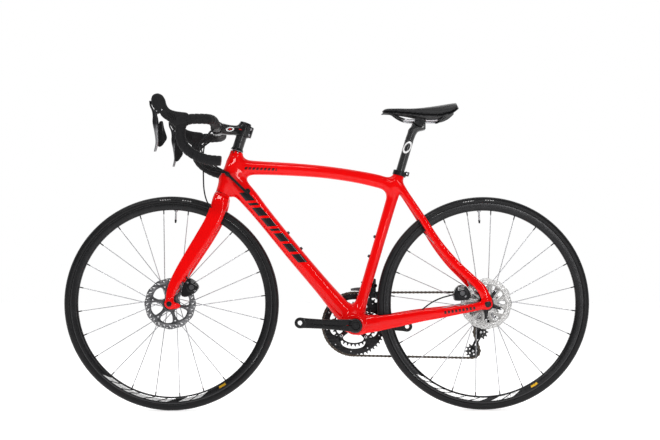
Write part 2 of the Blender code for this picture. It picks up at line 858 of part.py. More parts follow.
def build_cranks(body):
    centre = (BB.x, BB.z)
    forward = (-math.cos(CRANK_ANGLE), math.sin(CRANK_ANGLE))
    for name, side in SIDES:
        reach = CRANK_LENGTH * -side
        eye = (BB.x + forward[0] * reach, BB.z + forward[1] * reach)
        outline = bar_outline(centre, eye, 0.0200, 0.0165)
        pedal_hole = circle(eye, 0.0070, 12)
        spindle_hole = circle(centre, SPINDLE_RADIUS + GAP, 16)
        if side < 0:
            arm = plate([outline, pedal_hole, spindle_hole], -0.0745, -0.0625)
            boss = ring(SPINDLE_RADIUS + GAP, 0.0190, -0.0640, -0.0392, BB)
            node("crank_left", arm, "anodised", joined=[boss], body=body)
            continue
        arm = plate([outline, pedal_hole], 0.0625, 0.0745)
        hub = cross_rod(BB, 0.0240, 0.0430, 0.0660, sides=16)
        star = []
        for i in range(4):
            middle = math.radians(45 + 90 * i) - CRANK_ANGLE
            for turn, radius in ((-34, 0.0280), (-9, 0.0690), (9, 0.0690), (34, 0.0280)):
                angle = middle + math.radians(turn)
                star.append((BB.x + radius * math.cos(angle), BB.z + radius * math.sin(angle)))
        spider = plate([star], 0.0424, 0.0472)
        spindle = cross_rod(BB, SPINDLE_RADIUS, -0.0735, 0.0640, sides=16)
        node("crank_right", arm, "anodised", joined=[hub, spider, spindle], body=body)


def build_chain():
    """Two side bands joined by rollers, one to every three pitches."""
    inner_side, outer_side = 0.0013, 0.0026
    loops = [offset_loop(CHAIN_CORNERS, 0.0034), offset_loop(CHAIN_CORNERS, -0.0034)]
    near = plate(loops, CHAIN_PLANE - outer_side, CHAIN_PLANE - inner_side)
    far = plate(loops, CHAIN_PLANE + inner_side, CHAIN_PLANE + outer_side)
    work = bmesh.new()
    for x, z in ROLLERS[::3]:
        bmesh.ops.create_cone(
            work,
            cap_ends=True,
            segments=4,
            radius1=0.0028,
            radius2=0.0028,
            depth=2 * inner_side + 0.0008,
            matrix=Matrix.Translation((x, CHAIN_PLANE, z)) @ aligned(BESIDE),
        )
    rollers = bpy.data.meshes.new("rollers")
    work.to_mesh(rollers)
    work.free()
    node("chain", near, "chain_steel", joined=[rollers, far])


# ------------------------------------------------------------------ derailleurs

HANGER_BOLT = Vector((0.008, 0.0, -0.030))
LINK_LENGTH = 0.045
LINK_REAR = Vector((0.026, 0.0, -0.054))
LINK_FRONT = LINK_REAR - Vector((LINK_LENGTH, 0.0, 0.0))
LINK_LINES = (("outer", 0.0900), ("inner", 0.0760))
LINK_HALF_HEIGHT = 0.0075
PIN_RADIUS = 0.0018


def flat_bar_z(first, second, radius, z_low, z_high, holes=()):
    """A bar seen from above: (x, y) ends, with holes, between two heights."""
    mesh = plate([bar_outline(first, second, radius, radius, steps=5), *holes], z_low, z_high)
    mesh.transform(Matrix(((1, 0, 0, 0), (0, 0, 1, 0), (0, 1, 0, 0), (0, 0, 0, 1))))
    mesh.flip_normals()
    return mesh


def knuckle_ears(x):
    """Upper and lower ears across both links, and the two upright pins through them."""
    top, low = LINK_REAR.z + LINK_HALF_HEIGHT, LINK_REAR.z - LINK_HALF_HEIGHT
    ends = (x, LINK_LINES[0][1]), (x, LINK_LINES[1][1])
    ears = [
        flat_bar_z(*ends, 0.0046, top + GAP, top + 0.003),
        flat_bar_z(*ends, 0.0046, low - 0.003, low - GAP),
    ]
    pins = [rod((x, y, low - 0.001), (x, y, top + 0.001), PIN_RADIUS, sides=8) for _, y in LINK_LINES]
    return ears, pins


def build_rear_derailleur(bodies):
    hanger = plate(
        [bar_outline((0.0, 0.0), (HANGER_BOLT.x, HANGER_BOLT.z), 0.0120, 0.0080), circle((0, 0), 0.0064, 12)],
        0.0790,
        0.0835,
    )
    node("derailleur_hanger", hanger, "anodised")
    ears, pins = knuckle_ears(LINK_REAR.x)
    arm = loft(
        [
            (HANGER_BOLT.x, 0.0880, HANGER_BOLT.z + 0.006, 0.015, 0.0080),
            (HANGER_BOLT.x + 0.006, 0.0885, HANGER_BOLT.z - 0.006, 0.017, 0.0085),
            (LINK_REAR.x + 0.0020, 0.0860, LINK_REAR.z + 0.0118, 0.006, 0.0110),
        ],
        sides=8,
    )
    back = box((LINK_REAR.x + 0.0049, 0.0720, -0.0645), (LINK_REAR.x + 0.0080, 0.0940, -0.0435))
    bridges = [
        box((LINK_REAR.x, 0.0760, -0.0460), (LINK_REAR.x + 0.0070, 0.0900, -0.0440)),
        box((LINK_REAR.x, 0.0760, -0.0642), (LINK_REAR.x + 0.0070, 0.0900, -0.0620)),
    ]
    node("rd_body", back, "black", joined=[arm, *bridges, *ears, *pins])
    for name, y in LINK_LINES:
        body = bodies[f"rd_link_{name}"]
        holes = [circle((x, y), PIN_RADIUS + GAP, 8) for x in (LINK_REAR.x, LINK_FRONT.x)]
        link = flat_bar_z(
            (LINK_REAR.x, y),
            (LINK_FRONT.x, y),
            0.0040,
            LINK_REAR.z - LINK_HALF_HEIGHT,
            LINK_REAR.z + LINK_HALF_HEIGHT,
            holes,
        )
        node(f"rd_link_{name}", link, "black", body=body)
    ears, pins = knuckle_ears(LINK_FRONT.x)
    front = box((LINK_FRONT.x - 0.0080, 0.0720, -0.0645), (LINK_FRONT.x - 0.0049, 0.0940, -0.0435))
    bridges = [
        box((LINK_FRONT.x - 0.0070, 0.0760, -0.0460), (LINK_FRONT.x, 0.0900, -0.0440)),
        box((LINK_FRONT.x - 0.0070, 0.0760, -0.0642), (LINK_FRONT.x, 0.0900, -0.0620)),
    ]
    drop = loft(
        [
            (LINK_FRONT.x - 0.0020, 0.0790, -0.0668, 0.012, 0.0120),
            (LINK_FRONT.x + 0.0040, 0.0740, -0.0790, 0.017, 0.0120),
            (GUIDE_PULLEY.x, 0.0660, GUIDE_PULLEY.z, 0.020, 0.0130),
        ],
        sides=8,
    )
    boss = cross_rod(GUIDE_PULLEY, 0.0110, 0.0560, 0.0700)
    node("rd_knuckle", front, "black", joined=[drop, boss, *bridges, *ears, *pins], body=bodies["rd_knuckle"])
    guide, tension = (GUIDE_PULLEY.x, GUIDE_PULLEY.z), (TENSION_PULLEY.x, TENSION_PULLEY.z)
    arm = bar_outline(guide, tension, 0.0110, 0.0090)
    outer = plate([arm], CHAIN_PLANE + 0.0042, CHAIN_PLANE + 0.0062)
    inner = plate([bar_outline(guide, tension, 0.0085, 0.0085)], CHAIN_PLANE - 0.0060, CHAIN_PLANE - 0.0042)
    ends = (CHAIN_PLANE - 0.005, CHAIN_PLANE + 0.005)
    pins = [cross_rod(place, 0.0026, *ends, sides=10) for place in (GUIDE_PULLEY, TENSION_PULLEY)]
    node("rd_cage", outer, "black", joined=[inner, *pins], body=bodies["rd_cage"])
    for name, place, phase in (("guide", guide, PHASES[3]), ("tension", tension, PHASES[2])):
        wheel = plate(
            [toothed(place, PULLEY_TEETH, phase), circle(place, 0.0026 + GAP, 10)],
            CHAIN_PLANE - 0.001,
            CHAIN_PLANE + 0.001,
        )
        node(f"{name}_pulley", wheel, "black", body=bodies[f"{name}_pulley"])


def arc(centre, radius, first, last, steps):
    return [
        (
            centre[0] + radius * math.cos(first + (last - first) * i / steps),
            centre[1] + radius * math.sin(first + (last - first) * i / steps),
        )
        for i in range(steps + 1)
    ]


def build_front_derailleur(body):
    centre = (BB.x, BB.z)
    first, last = math.radians(46), math.radians(96)
    inner = pitch_radius(BIG_RING_TEETH) + 0.0056
    band = arc(centre, inner, first, last, 5) + arc(centre, inner + 0.019, last, first, 5)
    plates = [
        plate([band], CHAIN_PLANE - 0.0062, CHAIN_PLANE - 0.0046),
        plate([band], CHAIN_PLANE + 0.0046, CHAIN_PLANE + 0.0060),
    ]
    front_top = arc(centre, inner + 0.0155, math.radians(84), last, 2) + arc(
        centre, inner + 0.019, last, math.radians(84), 2
    )
    bridge = plate([front_top], CHAIN_PLANE - 0.0050, CHAIN_PLANE + 0.0050)
    node("fd_cage", plates[0], "black", joined=[bridge, plates[1]], body=body)
    arm = box((-0.3465, 0.0040, 0.0450), (-0.3395, 0.0280, 0.0670))
    block = box((-0.3620, 0.0230, 0.0150), (-0.3380, 0.0340, 0.0800))
    node("fd_bracket", block, "black", joined=[arm])


# ------------------------------------------------------------------ fork and cockpit


def build_fork(steering):
    crown = loft(
        [
            (*on_head(0.3627), 0.047, 0.047),
            (*on_head(0.349), 0.052, 0.062),
            (-0.8325, 0.0, 0.314, 0.052, 0.066),
        ],
        sides=12,
        power=2.3,
    )
    blade = loft(
        [
            (-0.826, 0.0200, 0.334, 0.046, 0.026),
            (-0.833, 0.0290, 0.306, 0.052, 0.023),
            (-0.853, 0.0338, 0.256, 0.052, 0.0205),
            (-0.882, 0.0382, 0.205, 0.051, 0.0185),
            (-0.914, 0.0432, 0.154, 0.047, 0.0165),
            (-0.945, 0.0482, 0.104, 0.042, 0.0150),
            (-0.968, 0.0532, 0.064, 0.034, 0.0135),
            (-0.981, 0.0562, 0.030, 0.028, 0.0120),
            (-0.985, 0.0568, 0.000, 0.025, 0.0120),
        ],
        sides=10,
    )
    tip = cross_rod(FRONT_AXLE, 0.0145, 0.0503, 0.0630, sides=16)
    foot = mirrored(
        plate([bar_outline((-0.984, -0.006), (-0.955, -0.006), 0.0100, 0.0085)], 0.0520, 0.0620)
    )
    steerer = rod(on_head(0.345), on_head(0.590), STEERER_RADIUS, 16)
    node(
        "fork",
        crown,
        "red",
        joined=[blade, mirrored(blade), tip, mirrored(tip), foot, steerer],
        cut=[cross_rod(FRONT_AXLE, AXLE_RADIUS + GAP, -0.09, 0.09)],
        body=steering,
    )


def build_cockpit(steering):
    bore = STEERER_RADIUS + GAP
    cover = [(bore, 0.5055), (0.0200, 0.5055), (0.0195, 0.5080), (0.0172, 0.5140), (bore, 0.5140)]
    node("headset_cover", turned(cover, HEAD_FOOT, HEAD_AXIS), "black", body=steering)
    spacers = ring(bore, 0.0168, 0.5143, 0.5537, HEAD_FOOT, HEAD_AXIS)
    node("headset_spacers", spacers, "black", body=steering)
    clamp = rod(on_head(0.554), on_head(0.593), 0.0195, sides=20)
    rear = on_head(0.5735)
    extension = loft(
        [
            (rear.x - 0.004, 0.0, rear.z + 0.0015, 0.029, 0.032),
            (-0.797, 0.0, 0.5465, 0.031, 0.030),
            (BAR_CENTRE.x + 0.014, 0.0, BAR_CENTRE.z, 0.034, 0.038),
        ],
        sides=12,
        power=3.0,
    )
    bar_clamp = cross_rod(BAR_CENTRE, 0.0205, -0.021, 0.021, sides=20)
    lug = box((-0.0080, -0.0090, -0.0170), (0.0080, 0.0090, 0.0170), Matrix.Rotation(HEAD_LEAN, 4, "Y"))
    lug.transform(Matrix.Translation(rear + Vector((0.0200, 0.0, -0.0065))))
    front_half = box((-0.900, -0.05, 0.50), (BAR_CENTRE.x - 0.0008, 0.05, 0.60))
    node(
        "stem",
        clamp,
        "black",
        joined=[extension, bar_clamp, lug],
        cut=[
            rod(on_head(0.545), on_head(0.600), bore, sides=16),
            cross_rod(BAR_CENTRE, BAR_CLAMP_RADIUS + GAP, -0.04, 0.04, sides=20),
            front_half,
        ],
        body=steering,
    )
    rear_half = box((BAR_CENTRE.x - 0.0012, -0.05, 0.50), (-0.780, 0.05, 0.60))
    node(
        "stem_faceplate",
        ring(BAR_CLAMP_RADIUS + GAP, 0.0205, -0.021, 0.021, BAR_CENTRE, steps=20),
        "black",
        cut=[rear_half],
        body=steering,
    )
    node("stem_top_cap", rod(on_head(0.5935), on_head(0.5985), 0.0180, sides=20), "black", body=steering)
    build_bar(steering)


def bar_path(side):
    """The bar's centre line from its middle to one end."""
    return [
        Vector((x, side * y, z))
        for x, y, z in (
            (BAR_CENTRE.x, 0.036, BAR_CENTRE.z),
            (BAR_CENTRE.x, 0.150, BAR_CENTRE.z),
            (BAR_CENTRE.x - 0.004, 0.175, BAR_CENTRE.z),
            (BAR_CENTRE.x - 0.014, 0.192, 0.5505),
            (BAR_CENTRE.x - 0.034, 0.2000, 0.5500),
            (-0.905, HOOD_Y, 0.5480),
            (-0.923, HOOD_Y, 0.5395),
            (-0.9305, HOOD_Y, 0.5230),
            (-0.9310, HOOD_Y, 0.4980),
            (-0.9250, 0.2010, 0.4770),
            (-0.9110, 0.2015, 0.4590),
            (-0.8880, 0.2020, 0.4430),
            (-0.8560, 0.2030, 0.4300),
            (-0.8120, 0.2040, 0.4250),
        )
    ]


def build_bar(steering):
    whole = bar_path(-1)[::-1] + bar_path(1)
    grip = cross_rod(BAR_CENTRE, BAR_CLAMP_RADIUS, -0.036, 0.036, sides=16)
    node("handlebar", tube(whole, 0.0115, resolution=1), "anodised", joined=[grip], body=steering)
    for name, side in SIDES:
        path = bar_path(side)
        taped = [path[0].lerp(path[1], 0.40), *path[1:-1], path[-1].lerp(path[-2], 0.01)]
        node(f"bar_tape_{name}", sleeve(taped, 0.0130, TAPE_RADIUS), "rubber", body=steering)


LEVER_PIVOT = Vector((-1.0000, 0.0, 0.5720))
LEVER_BOSS_RADIUS = 0.0085
PADDLE_PIVOT = Vector((-0.9890, -0.0145, 0.5440))


def build_controls(steering, bodies):
    for name, side in SIDES:
        y = HOOD_Y * side
        hood = loft(
            [
                (-0.9120, y, 0.5600, 0.014, 0.020),
                (-0.9380, y, 0.5500, 0.042, 0.030),
                (-0.9630, y, 0.5590, 0.035, 0.034),
                (-0.9840, y, 0.5770, 0.036, 0.034),
                (-0.9972, y, 0.6010, 0.042, 0.032),
                (-1.0060, y, 0.6190, 0.028, 0.024),
            ],
            sides=10,
        )
        tape_room = tube(bar_path(side)[3:11], TAPE_RADIUS * 1.10, resolution=2)
        pivot = Vector((LEVER_PIVOT.x, 0.0, LEVER_PIVOT.z))
        boss_room = cross_rod(pivot, LEVER_BOSS_RADIUS + 0.0010, y - 0.0090, y + 0.0090, sides=16)
        node(f"hood_{name}", hood, "rubber", cut=[tape_room, boss_room], body=steering)
        lever = loft(
            [
                (-1.0232, y, 0.6010, 0.0035, 0.0120),
                (-1.0195, y, 0.5860, 0.0045, 0.0150),
                (-1.0120, y, 0.5730, 0.0085, 0.0155),
                (-1.0060, y, 0.5580, 0.0140, 0.0155),
                (-1.0045, y, 0.5400, 0.0180, 0.0155),
                (-1.0020, y, 0.5100, 0.0115, 0.0160),
                (-1.0000, y, 0.4800, 0.0090, 0.0140),
                (-1.0060, y, 0.4530, 0.0070, 0.0090),
            ],
            sides=8,
        )
        boss = cross_rod(pivot, LEVER_BOSS_RADIUS, y - 0.0080, y + 0.0080, sides=12)
        node(f"brake_lever_{name}", lever, "steel", joined=[boss], body=bodies[f"brake_lever_{name}"])
        inboard = abs(y) - 0.0165
        paddle = plate(
            [[(-0.9925, 0.5450), (-0.9860, 0.5450), (-0.9720, 0.4960), (-0.9860, 0.4720), (-0.9950, 0.4700)]],
            inboard,
            inboard + 0.0040,
        )
        node(f"shift_paddle_{name}", on_side(paddle, side), "black", body=bodies[f"shift_paddle_{name}"])


def build_cables():
    """The gear cables and brake hoses from the bar to the frame, gathered in a sleeve beside the head tube."""
    gather, port = Vector((-0.8120, -0.0345, 0.4100)), Vector((-0.7480, -0.0335, 0.3480))
    inside = gather.lerp(port, 0.12)
    left = [(-0.858, -0.060, 0.530), (-0.885, -0.056, 0.500)]
    left += [(-0.880, -0.046, 0.460), (-0.845, -0.037, 0.430)]
    right = [(-0.858, 0.060, 0.530), (-0.895, 0.040, 0.500), (-0.895, 0.000, 0.465), (-0.860, -0.028, 0.426)]
    brake = [(-0.860, -0.0625, 0.5310), (-0.877, -0.0620, 0.480)]
    brake += [(-0.8790, -0.058, 0.400), (-0.8760, -0.054, 0.345)]
    left.append(inside + Vector((0.0, 0.0008, 0.0008)))
    right.append(inside + Vector((0.0010, -0.0008, -0.0008)))
    node(
        "control_cables",
        rod(gather, port, 0.0045, sides=8),
        "rubber",
        joined=[tube(points, 0.0022, 1) for points in (left, right, brake)],
    )


# ------------------------------------------------------------------ seat

SADDLE_TILT = Vector((-0.2030, 0.0, 0.5760))
RAIL_Y = 0.0220
RAIL_RADIUS = 0.0035
SADDLE_STATIONS = (
    (-0.3240, 0.6080, 0.0100, 0.002),
    (-0.3120, 0.6150, 0.0175, 0.006),
    (-0.2800, 0.6170, 0.0215, 0.010),
    (-0.2400, 0.6175, 0.0270, 0.015),
    (-0.2000, 0.6195, 0.0410, 0.024),
    (-0.1600, 0.6240, 0.0600, 0.033),
    (-0.1300, 0.6285, 0.0690, 0.036),
    (-0.1050, 0.6320, 0.0700, 0.030),
    (-0.0860, 0.6350, 0.0600, 0.018),
)


def arched(lower_by, thickness, inset):
    """A saddle layer: an arch over (x, top, half width, drop) stations, moved down and in."""
    rings = []
    for x, top, half, drop in SADDLE_STATIONS:
        half = max(half - inset, 0.004)
        outer, inner = [], []
        for k in range(-4, 5):
            share = k / 4
            y = half * share
            z = top - lower_by - drop * abs(share) ** 2.2
            outer.append(Vector((x, y, z)))
            inner.append(Vector((x, y * 0.96, z - thickness * (1 - 0.3 * abs(share)))))
        rings.append(outer + inner[::-1])
    return skin(rings)


def build_seat(post_body, saddle_body):
    head_bottom = Vector((-0.2020, 0.0, 0.5590))
    post_path = [
        on_seat(0.375),
        on_seat(0.585),
        on_seat(0.612) + Vector((0.0015, 0, 0)),
        Vector((-0.2250, 0.0, 0.5435)),
        Vector((-0.2140, 0.0, 0.5560)),
        head_bottom,
    ]
    post = loft([(*p, 2 * POST_RADIUS, 2 * POST_RADIUS) for p in post_path], sides=16, power=2.0)
    head = box((-0.2260, -0.0150, 0.5480), (-0.1840, 0.0150, 0.5720))
    node(
        "seatpost",
        post,
        "black",
        joined=[head],
        cut=[cross_rod(SADDLE_TILT, 0.0183, -0.03, 0.03, sides=20)],
        body=post_body,
    )
    grooves = []
    for side in (-1, 1):
        place = Vector((0, side * RAIL_Y, SADDLE_TILT.z))
        ends = [place + Vector((x, 0, 0)) for x in (-0.26, -0.15)]
        grooves.append(rod(*ends, RAIL_RADIUS + GAP, sides=10))
    cradle = cross_rod(SADDLE_TILT, 0.0180, -0.0285, 0.0285, sides=20)
    above = box((-0.25, -0.04, SADDLE_TILT.z - 0.0003), (-0.15, 0.04, 0.61))
    node("saddle_cradle", cradle, "black", cut=[above, *grooves], body=saddle_body)
    cap = box((-0.2200, -0.0285, SADDLE_TILT.z + 0.0003), (-0.1860, 0.0285, SADDLE_TILT.z + 0.0075))
    node("saddle_clamp_cap", cap, "black", cut=[mesh.copy() for mesh in grooves], body=saddle_body)
    half_rail = [
        (-0.1320, 0.0400, 0.5860),
        (-0.1420, 0.0350, 0.5780),
        (-0.1600, 0.0240, SADDLE_TILT.z),
        (-0.1680, RAIL_Y, SADDLE_TILT.z),
        (-0.2380, RAIL_Y, SADDLE_TILT.z),
        (-0.2480, 0.0215, 0.5775),
        (-0.2700, 0.0160, 0.5860),
        (-0.2900, 0.0110, 0.5990),
        (-0.2950, 0.0040, 0.6010),
    ]
    rail_path = half_rail + [(x, -y, z) for x, y, z in half_rail[::-1]]
    node("saddle_rails", tube(rail_path, RAIL_RADIUS, 1), "steel", body=saddle_body)
    cover_thickness = 0.0075
    node("saddle_cover", arched(0.0, cover_thickness, 0.0), "rubber", body=saddle_body)
    shell = arched(cover_thickness + 0.0010, 0.0026, 0.0020)
    room = tube(rail_path, RAIL_RADIUS + GAP, 1)
    node("saddle_shell", shell, "black", cut=[room], body=saddle_body)


# ------------------------------------------------------------------ assembly


def build():
    steering = empty("steering_axis", on_head(0.36))
    front_wheel = empty("front_wheel_axis", FRONT_AXLE, steering)
    cassette = empty("cassette_axis", REAR_AXLE)
    rear_wheel = empty("rear_wheel_axis", REAR_AXLE, cassette)
    crank = empty("crank_axis", BB)
    post = empty("seatpost_axis", on_seat(SEAT_TUBE_LENGTH))
    saddle = empty("saddle_tilt_axis", SADDLE_TILT, post)
    bodies = {}
    for name, y in LINK_LINES:
        bodies[f"rd_link_{name}"] = empty(f"rd_link_{name}_axis", (LINK_REAR.x, y, LINK_REAR.z))
    knuckle_at = (LINK_FRONT.x, LINK_LINES[0][1], LINK_FRONT.z)
    bodies["rd_knuckle"] = empty("rd_knuckle_axis", knuckle_at, bodies["rd_link_outer"])
    bodies["rd_cage"] = empty("rd_cage_axis", GUIDE_PULLEY, bodies["rd_knuckle"])
    bodies["guide_pulley"] = empty("guide_pulley_axis", GUIDE_PULLEY, bodies["rd_cage"])
    bodies["tension_pulley"] = empty("tension_pulley_axis", TENSION_PULLEY, bodies["rd_cage"])
    fd_cage = empty("fd_cage_axis", (BB.x, CHAIN_PLANE, BB.z + 0.12))
    for name, side in SIDES:
        lever = empty(f"brake_lever_{name}_axis", LEVER_PIVOT + BESIDE * (HOOD_Y * side), steering)
        bodies[f"brake_lever_{name}"] = lever
        pivot = (PADDLE_PIVOT.x, (HOOD_Y + PADDLE_PIVOT.y) * side, PADDLE_PIVOT.z)
        bodies[f"shift_paddle_{name}"] = empty(f"shift_paddle_{name}_axis", pivot, lever)

    build_frame()
    build_bearings()
    build_seat_clamp()
    build_wheels(front_wheel, rear_wheel)
    build_axles(steering)
    build_calipers(steering)
    build_cassette(cassette)
    build_rings(crank)
    build_cranks(crank)
    build_chain()
    build_rear_derailleur(bodies)
    build_front_derailleur(fd_cage)
    build_fork(steering)
    build_cockpit(steering)
    build_controls(steering, bodies)
    build_cables()
    build_seat(post, saddle)


build()
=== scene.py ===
"""Looks of a drop-bar road bicycle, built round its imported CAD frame.

Metres, in the CAD's frame: front at -X, left side at -Y, +Z up, and the origin at the centre of
the rear axle.
"""

import json
import math

import bmesh
import bpy
import numpy as np
from mathutils import Matrix, Vector
from mathutils.bvhtree import BVHTree


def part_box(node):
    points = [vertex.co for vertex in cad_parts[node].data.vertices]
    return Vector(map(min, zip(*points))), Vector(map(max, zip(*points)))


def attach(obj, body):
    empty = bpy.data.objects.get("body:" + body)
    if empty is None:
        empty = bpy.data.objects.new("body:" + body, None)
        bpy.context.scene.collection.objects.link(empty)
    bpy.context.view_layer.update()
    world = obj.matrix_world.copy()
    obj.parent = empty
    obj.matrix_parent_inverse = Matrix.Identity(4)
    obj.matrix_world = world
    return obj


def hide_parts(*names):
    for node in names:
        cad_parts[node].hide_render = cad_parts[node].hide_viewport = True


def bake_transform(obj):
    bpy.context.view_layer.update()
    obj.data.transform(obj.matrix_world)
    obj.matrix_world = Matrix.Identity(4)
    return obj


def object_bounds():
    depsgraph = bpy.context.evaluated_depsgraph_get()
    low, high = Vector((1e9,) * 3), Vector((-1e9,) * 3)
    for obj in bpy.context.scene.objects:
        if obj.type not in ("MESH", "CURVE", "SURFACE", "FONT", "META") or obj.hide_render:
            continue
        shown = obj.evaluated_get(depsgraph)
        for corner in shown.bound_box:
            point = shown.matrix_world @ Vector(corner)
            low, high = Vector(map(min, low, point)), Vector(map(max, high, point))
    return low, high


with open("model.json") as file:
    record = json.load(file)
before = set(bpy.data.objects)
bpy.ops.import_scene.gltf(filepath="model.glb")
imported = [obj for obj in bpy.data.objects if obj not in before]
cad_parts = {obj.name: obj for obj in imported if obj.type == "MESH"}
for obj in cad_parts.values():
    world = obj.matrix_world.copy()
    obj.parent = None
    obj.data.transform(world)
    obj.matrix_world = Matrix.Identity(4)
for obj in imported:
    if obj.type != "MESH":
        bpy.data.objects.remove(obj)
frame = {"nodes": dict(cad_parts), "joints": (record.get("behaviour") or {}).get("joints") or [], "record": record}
CAD_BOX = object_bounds()

# ------------------------------------------------------------------ places, from the frame

JOINTS = {joint["name"]: joint for joint in frame["joints"]}


def pivot(joint):
    return Vector(JOINTS[joint]["pos_m"])


def centre(node):
    low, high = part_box(node)
    return (low + high) / 2


Y = Vector((0.0, 1.0, 0.0))
REAR = pivot("rear_wheel_coast")
FRONT = pivot("front_wheel_spin")
BB = pivot("crank_spin")
HEAD_AXIS = Vector(JOINTS["steering"]["axis"]).normalized()
SEAT_AXIS = Vector(JOINTS["seat_height"]["axis"]).normalized()
HEAD_FOOT = pivot("steering") - HEAD_AXIS * 0.36
TILT = pivot("saddle_tilt")
GUIDE = pivot("guide_pulley_spin")
TENSION = pivot("tension_pulley_spin")
CHAIN_Y = GUIDE.y
BAR = centre("stem_faceplate") + Vector((0.0103, 0.0, 0.0))
BAR.y = 0.0
HOOD_Y = pivot("brake_pull_right").y
TYRE_R = (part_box("rear_tyre")[1].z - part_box("rear_tyre")[0].z) / 2
RIM_OUT = TYRE_R - 0.021
RIM_IN = TYRE_R - 0.0435
SIDES = (("left", -1), ("right", 1))
PITCH = 0.0127


def on_head(distance):
    return HEAD_FOOT + HEAD_AXIS * distance


def on_seat(distance):
    return BB + SEAT_AXIS * distance


# ------------------------------------------------------------------ materials


class Shade:
    """A node material, built by chaining small helpers."""

    def __init__(self, name, colour, roughness, metallic=0.0, **sockets):
        self.material = bpy.data.materials.new(name)
        self.material.use_nodes = True
        self.tree = self.material.node_tree
        self.shader = self.tree.nodes["Principled BSDF"]
        self.put("Base Color", (*colour, 1.0))
        self.put("Roughness", roughness)
        self.put("Metallic", metallic)
        for key, value in sockets.items():
            self.put(key.replace("_", " "), value)
        self.coord = self.tree.nodes.new("ShaderNodeTexCoord").outputs["Object"]
        self.colour = tuple(colour)
        self.last_colour = None
        self.last_bump = None

    def put(self, socket, value):
        self.shader.inputs[socket].default_value = value

    def link(self, source, target):
        self.tree.links.new(source, target)
        return target

    def math(self, operation, a, b=None, c=None, clamp=False):
        node = self.tree.nodes.new("ShaderNodeMath")
        node.operation = operation
        node.use_clamp = clamp
        for socket, value in zip(node.inputs, (a, b, c)):
            if value is None:
                continue
            if isinstance(value, (int, float)):
                socket.default_value = value
            else:
                self.link(value, socket)
        return node.outputs[0]

    def dot(self, direction, point=(0, 0, 0)):
        """Distance along a direction from a point, in metres, as a socket."""
        node = self.tree.nodes.new("ShaderNodeVectorMath")
        node.operation = "DOT_PRODUCT"
        self.link(self.coord, node.inputs[0])
        node.inputs[1].default_value = Vector(direction)
        return self.math(
            "SUBTRACT", node.outputs["Value"], float(Vector(direction).dot(Vector(point)))
        )

    def between(self, value, low, high, soft=0.0003):
        """1 between low and high, 0 outside, with soft edges."""
        up = self.ramp(value, low - soft, low + soft)
        down = self.ramp(value, high - soft, high + soft)
        return self.math("SUBTRACT", up, down, clamp=True)

    def ramp(self, value, low, high, to_low=0.0, to_high=1.0):
        node = self.tree.nodes.new("ShaderNodeMapRange")
        node.clamp = True
        self.link(value, node.inputs["Value"])
        for key, number in zip(
            ("From Min", "From Max", "To Min", "To Max"), (low, high, to_low, to_high)
        ):
            node.inputs[key].default_value = number
        return node.outputs["Result"]

    def noise(self, scale, detail=3.0, stretch=None):
        node = self.tree.nodes.new("ShaderNodeTexNoise")
        node.inputs["Scale"].default_value = scale
        node.inputs["Detail"].default_value = detail
        node.inputs["Roughness"].default_value = 0.55
        source = self.coord
        if stretch:
            mapping = self.tree.nodes.new("ShaderNodeMapping")
            mapping.inputs["Scale"].default_value = stretch
            self.link(self.coord, mapping.inputs["Vector"])
            source = mapping.outputs["Vector"]
        self.link(source, node.inputs["Vector"])
        return node.outputs["Fac"]

    def voronoi(self, scale):
        node = self.tree.nodes.new("ShaderNodeTexVoronoi")
        node.inputs["Scale"].default_value = scale
        self.link(self.coord, node.inputs["Vector"])
        return node.outputs["Distance"]

    def tint(self, mask, colour, strength=1.0):
        """Mixes a colour over the surface where the mask is 1."""
        node = self.tree.nodes.new("ShaderNodeMix")
        node.data_type = "RGBA"
        sockets = [s for s in node.inputs if s.type == "RGBA"]
        if self.last_colour is None:
            sockets[0].default_value = (*self.colour, 1.0)
        else:
            self.link(self.last_colour, sockets[0])
        sockets[1].default_value = (*colour, 1.0)
        if strength != 1.0:
            mask = self.math("MULTIPLY", mask, strength)
        self.link(mask, node.inputs[0])
        self.last_colour = [s for s in node.outputs if s.type == "RGBA"][0]
        self.link(self.last_colour, self.shader.inputs["Base Color"])
        return self

    def vary_roughness(self, value, low, high, source_low=0.3, source_high=0.7):
        self.link(
            self.ramp(value, source_low, source_high, low, high), self.shader.inputs["Roughness"]
        )
        return self

    def wave(self, value, frequency):
        return self.math("SINE", self.math("MULTIPLY", value, frequency))

    def over(self, value, limit):
        """1 where the value is past the limit, 0 elsewhere."""
        return self.math("GREATER_THAN", value, limit)

    def leaning(self, value, other, share):
        """One distance plus a share of another, for slanted marks."""
        return self.math("ADD", value, self.math("MULTIPLY", other, share))

    def oval(self, a, b, half_a, half_b):
        """0 in the middle of an ellipse and 1 on its edge."""
        squares = [
            self.math("POWER", self.math("DIVIDE", value, half), 2.0)
            for value, half in ((a, half_a), (b, half_b))
        ]
        return self.math("SQRT", self.math("ADD", *squares))

    def off_centre(self):
        """Distance from the bicycle's middle plane, on either side."""
        return self.math("ABSOLUTE", self.dot(Y))

    def bump(self, value, distance, strength=1.0):
        node = self.tree.nodes.new("ShaderNodeBump")
        node.inputs["Strength"].default_value = strength
        node.inputs["Distance"].default_value = distance
        self.link(value, node.inputs["Height"])
        if self.last_bump is not None:
            self.link(self.last_bump, node.inputs["Normal"])
        self.last_bump = node.outputs["Normal"]
        self.link(self.last_bump, self.shader.inputs["Normal"])
        return self

    def angle(self, place, turn=0.0):
        """The angle round a sideways axis, in radians, and the distance from it in metres."""
        x = self.dot((1, 0, 0), place)
        z = self.dot((0, 0, 1), place)
        angle = self.math("ARCTAN2", z, x)
        if turn:
            angle = self.math("SUBTRACT", angle, turn)
            angle = self.math("WRAP", angle, math.pi, -math.pi)
        square = self.math("ADD", self.math("MULTIPLY", x, x), self.math("MULTIPLY", z, z))
        return angle, self.math("SQRT", square)


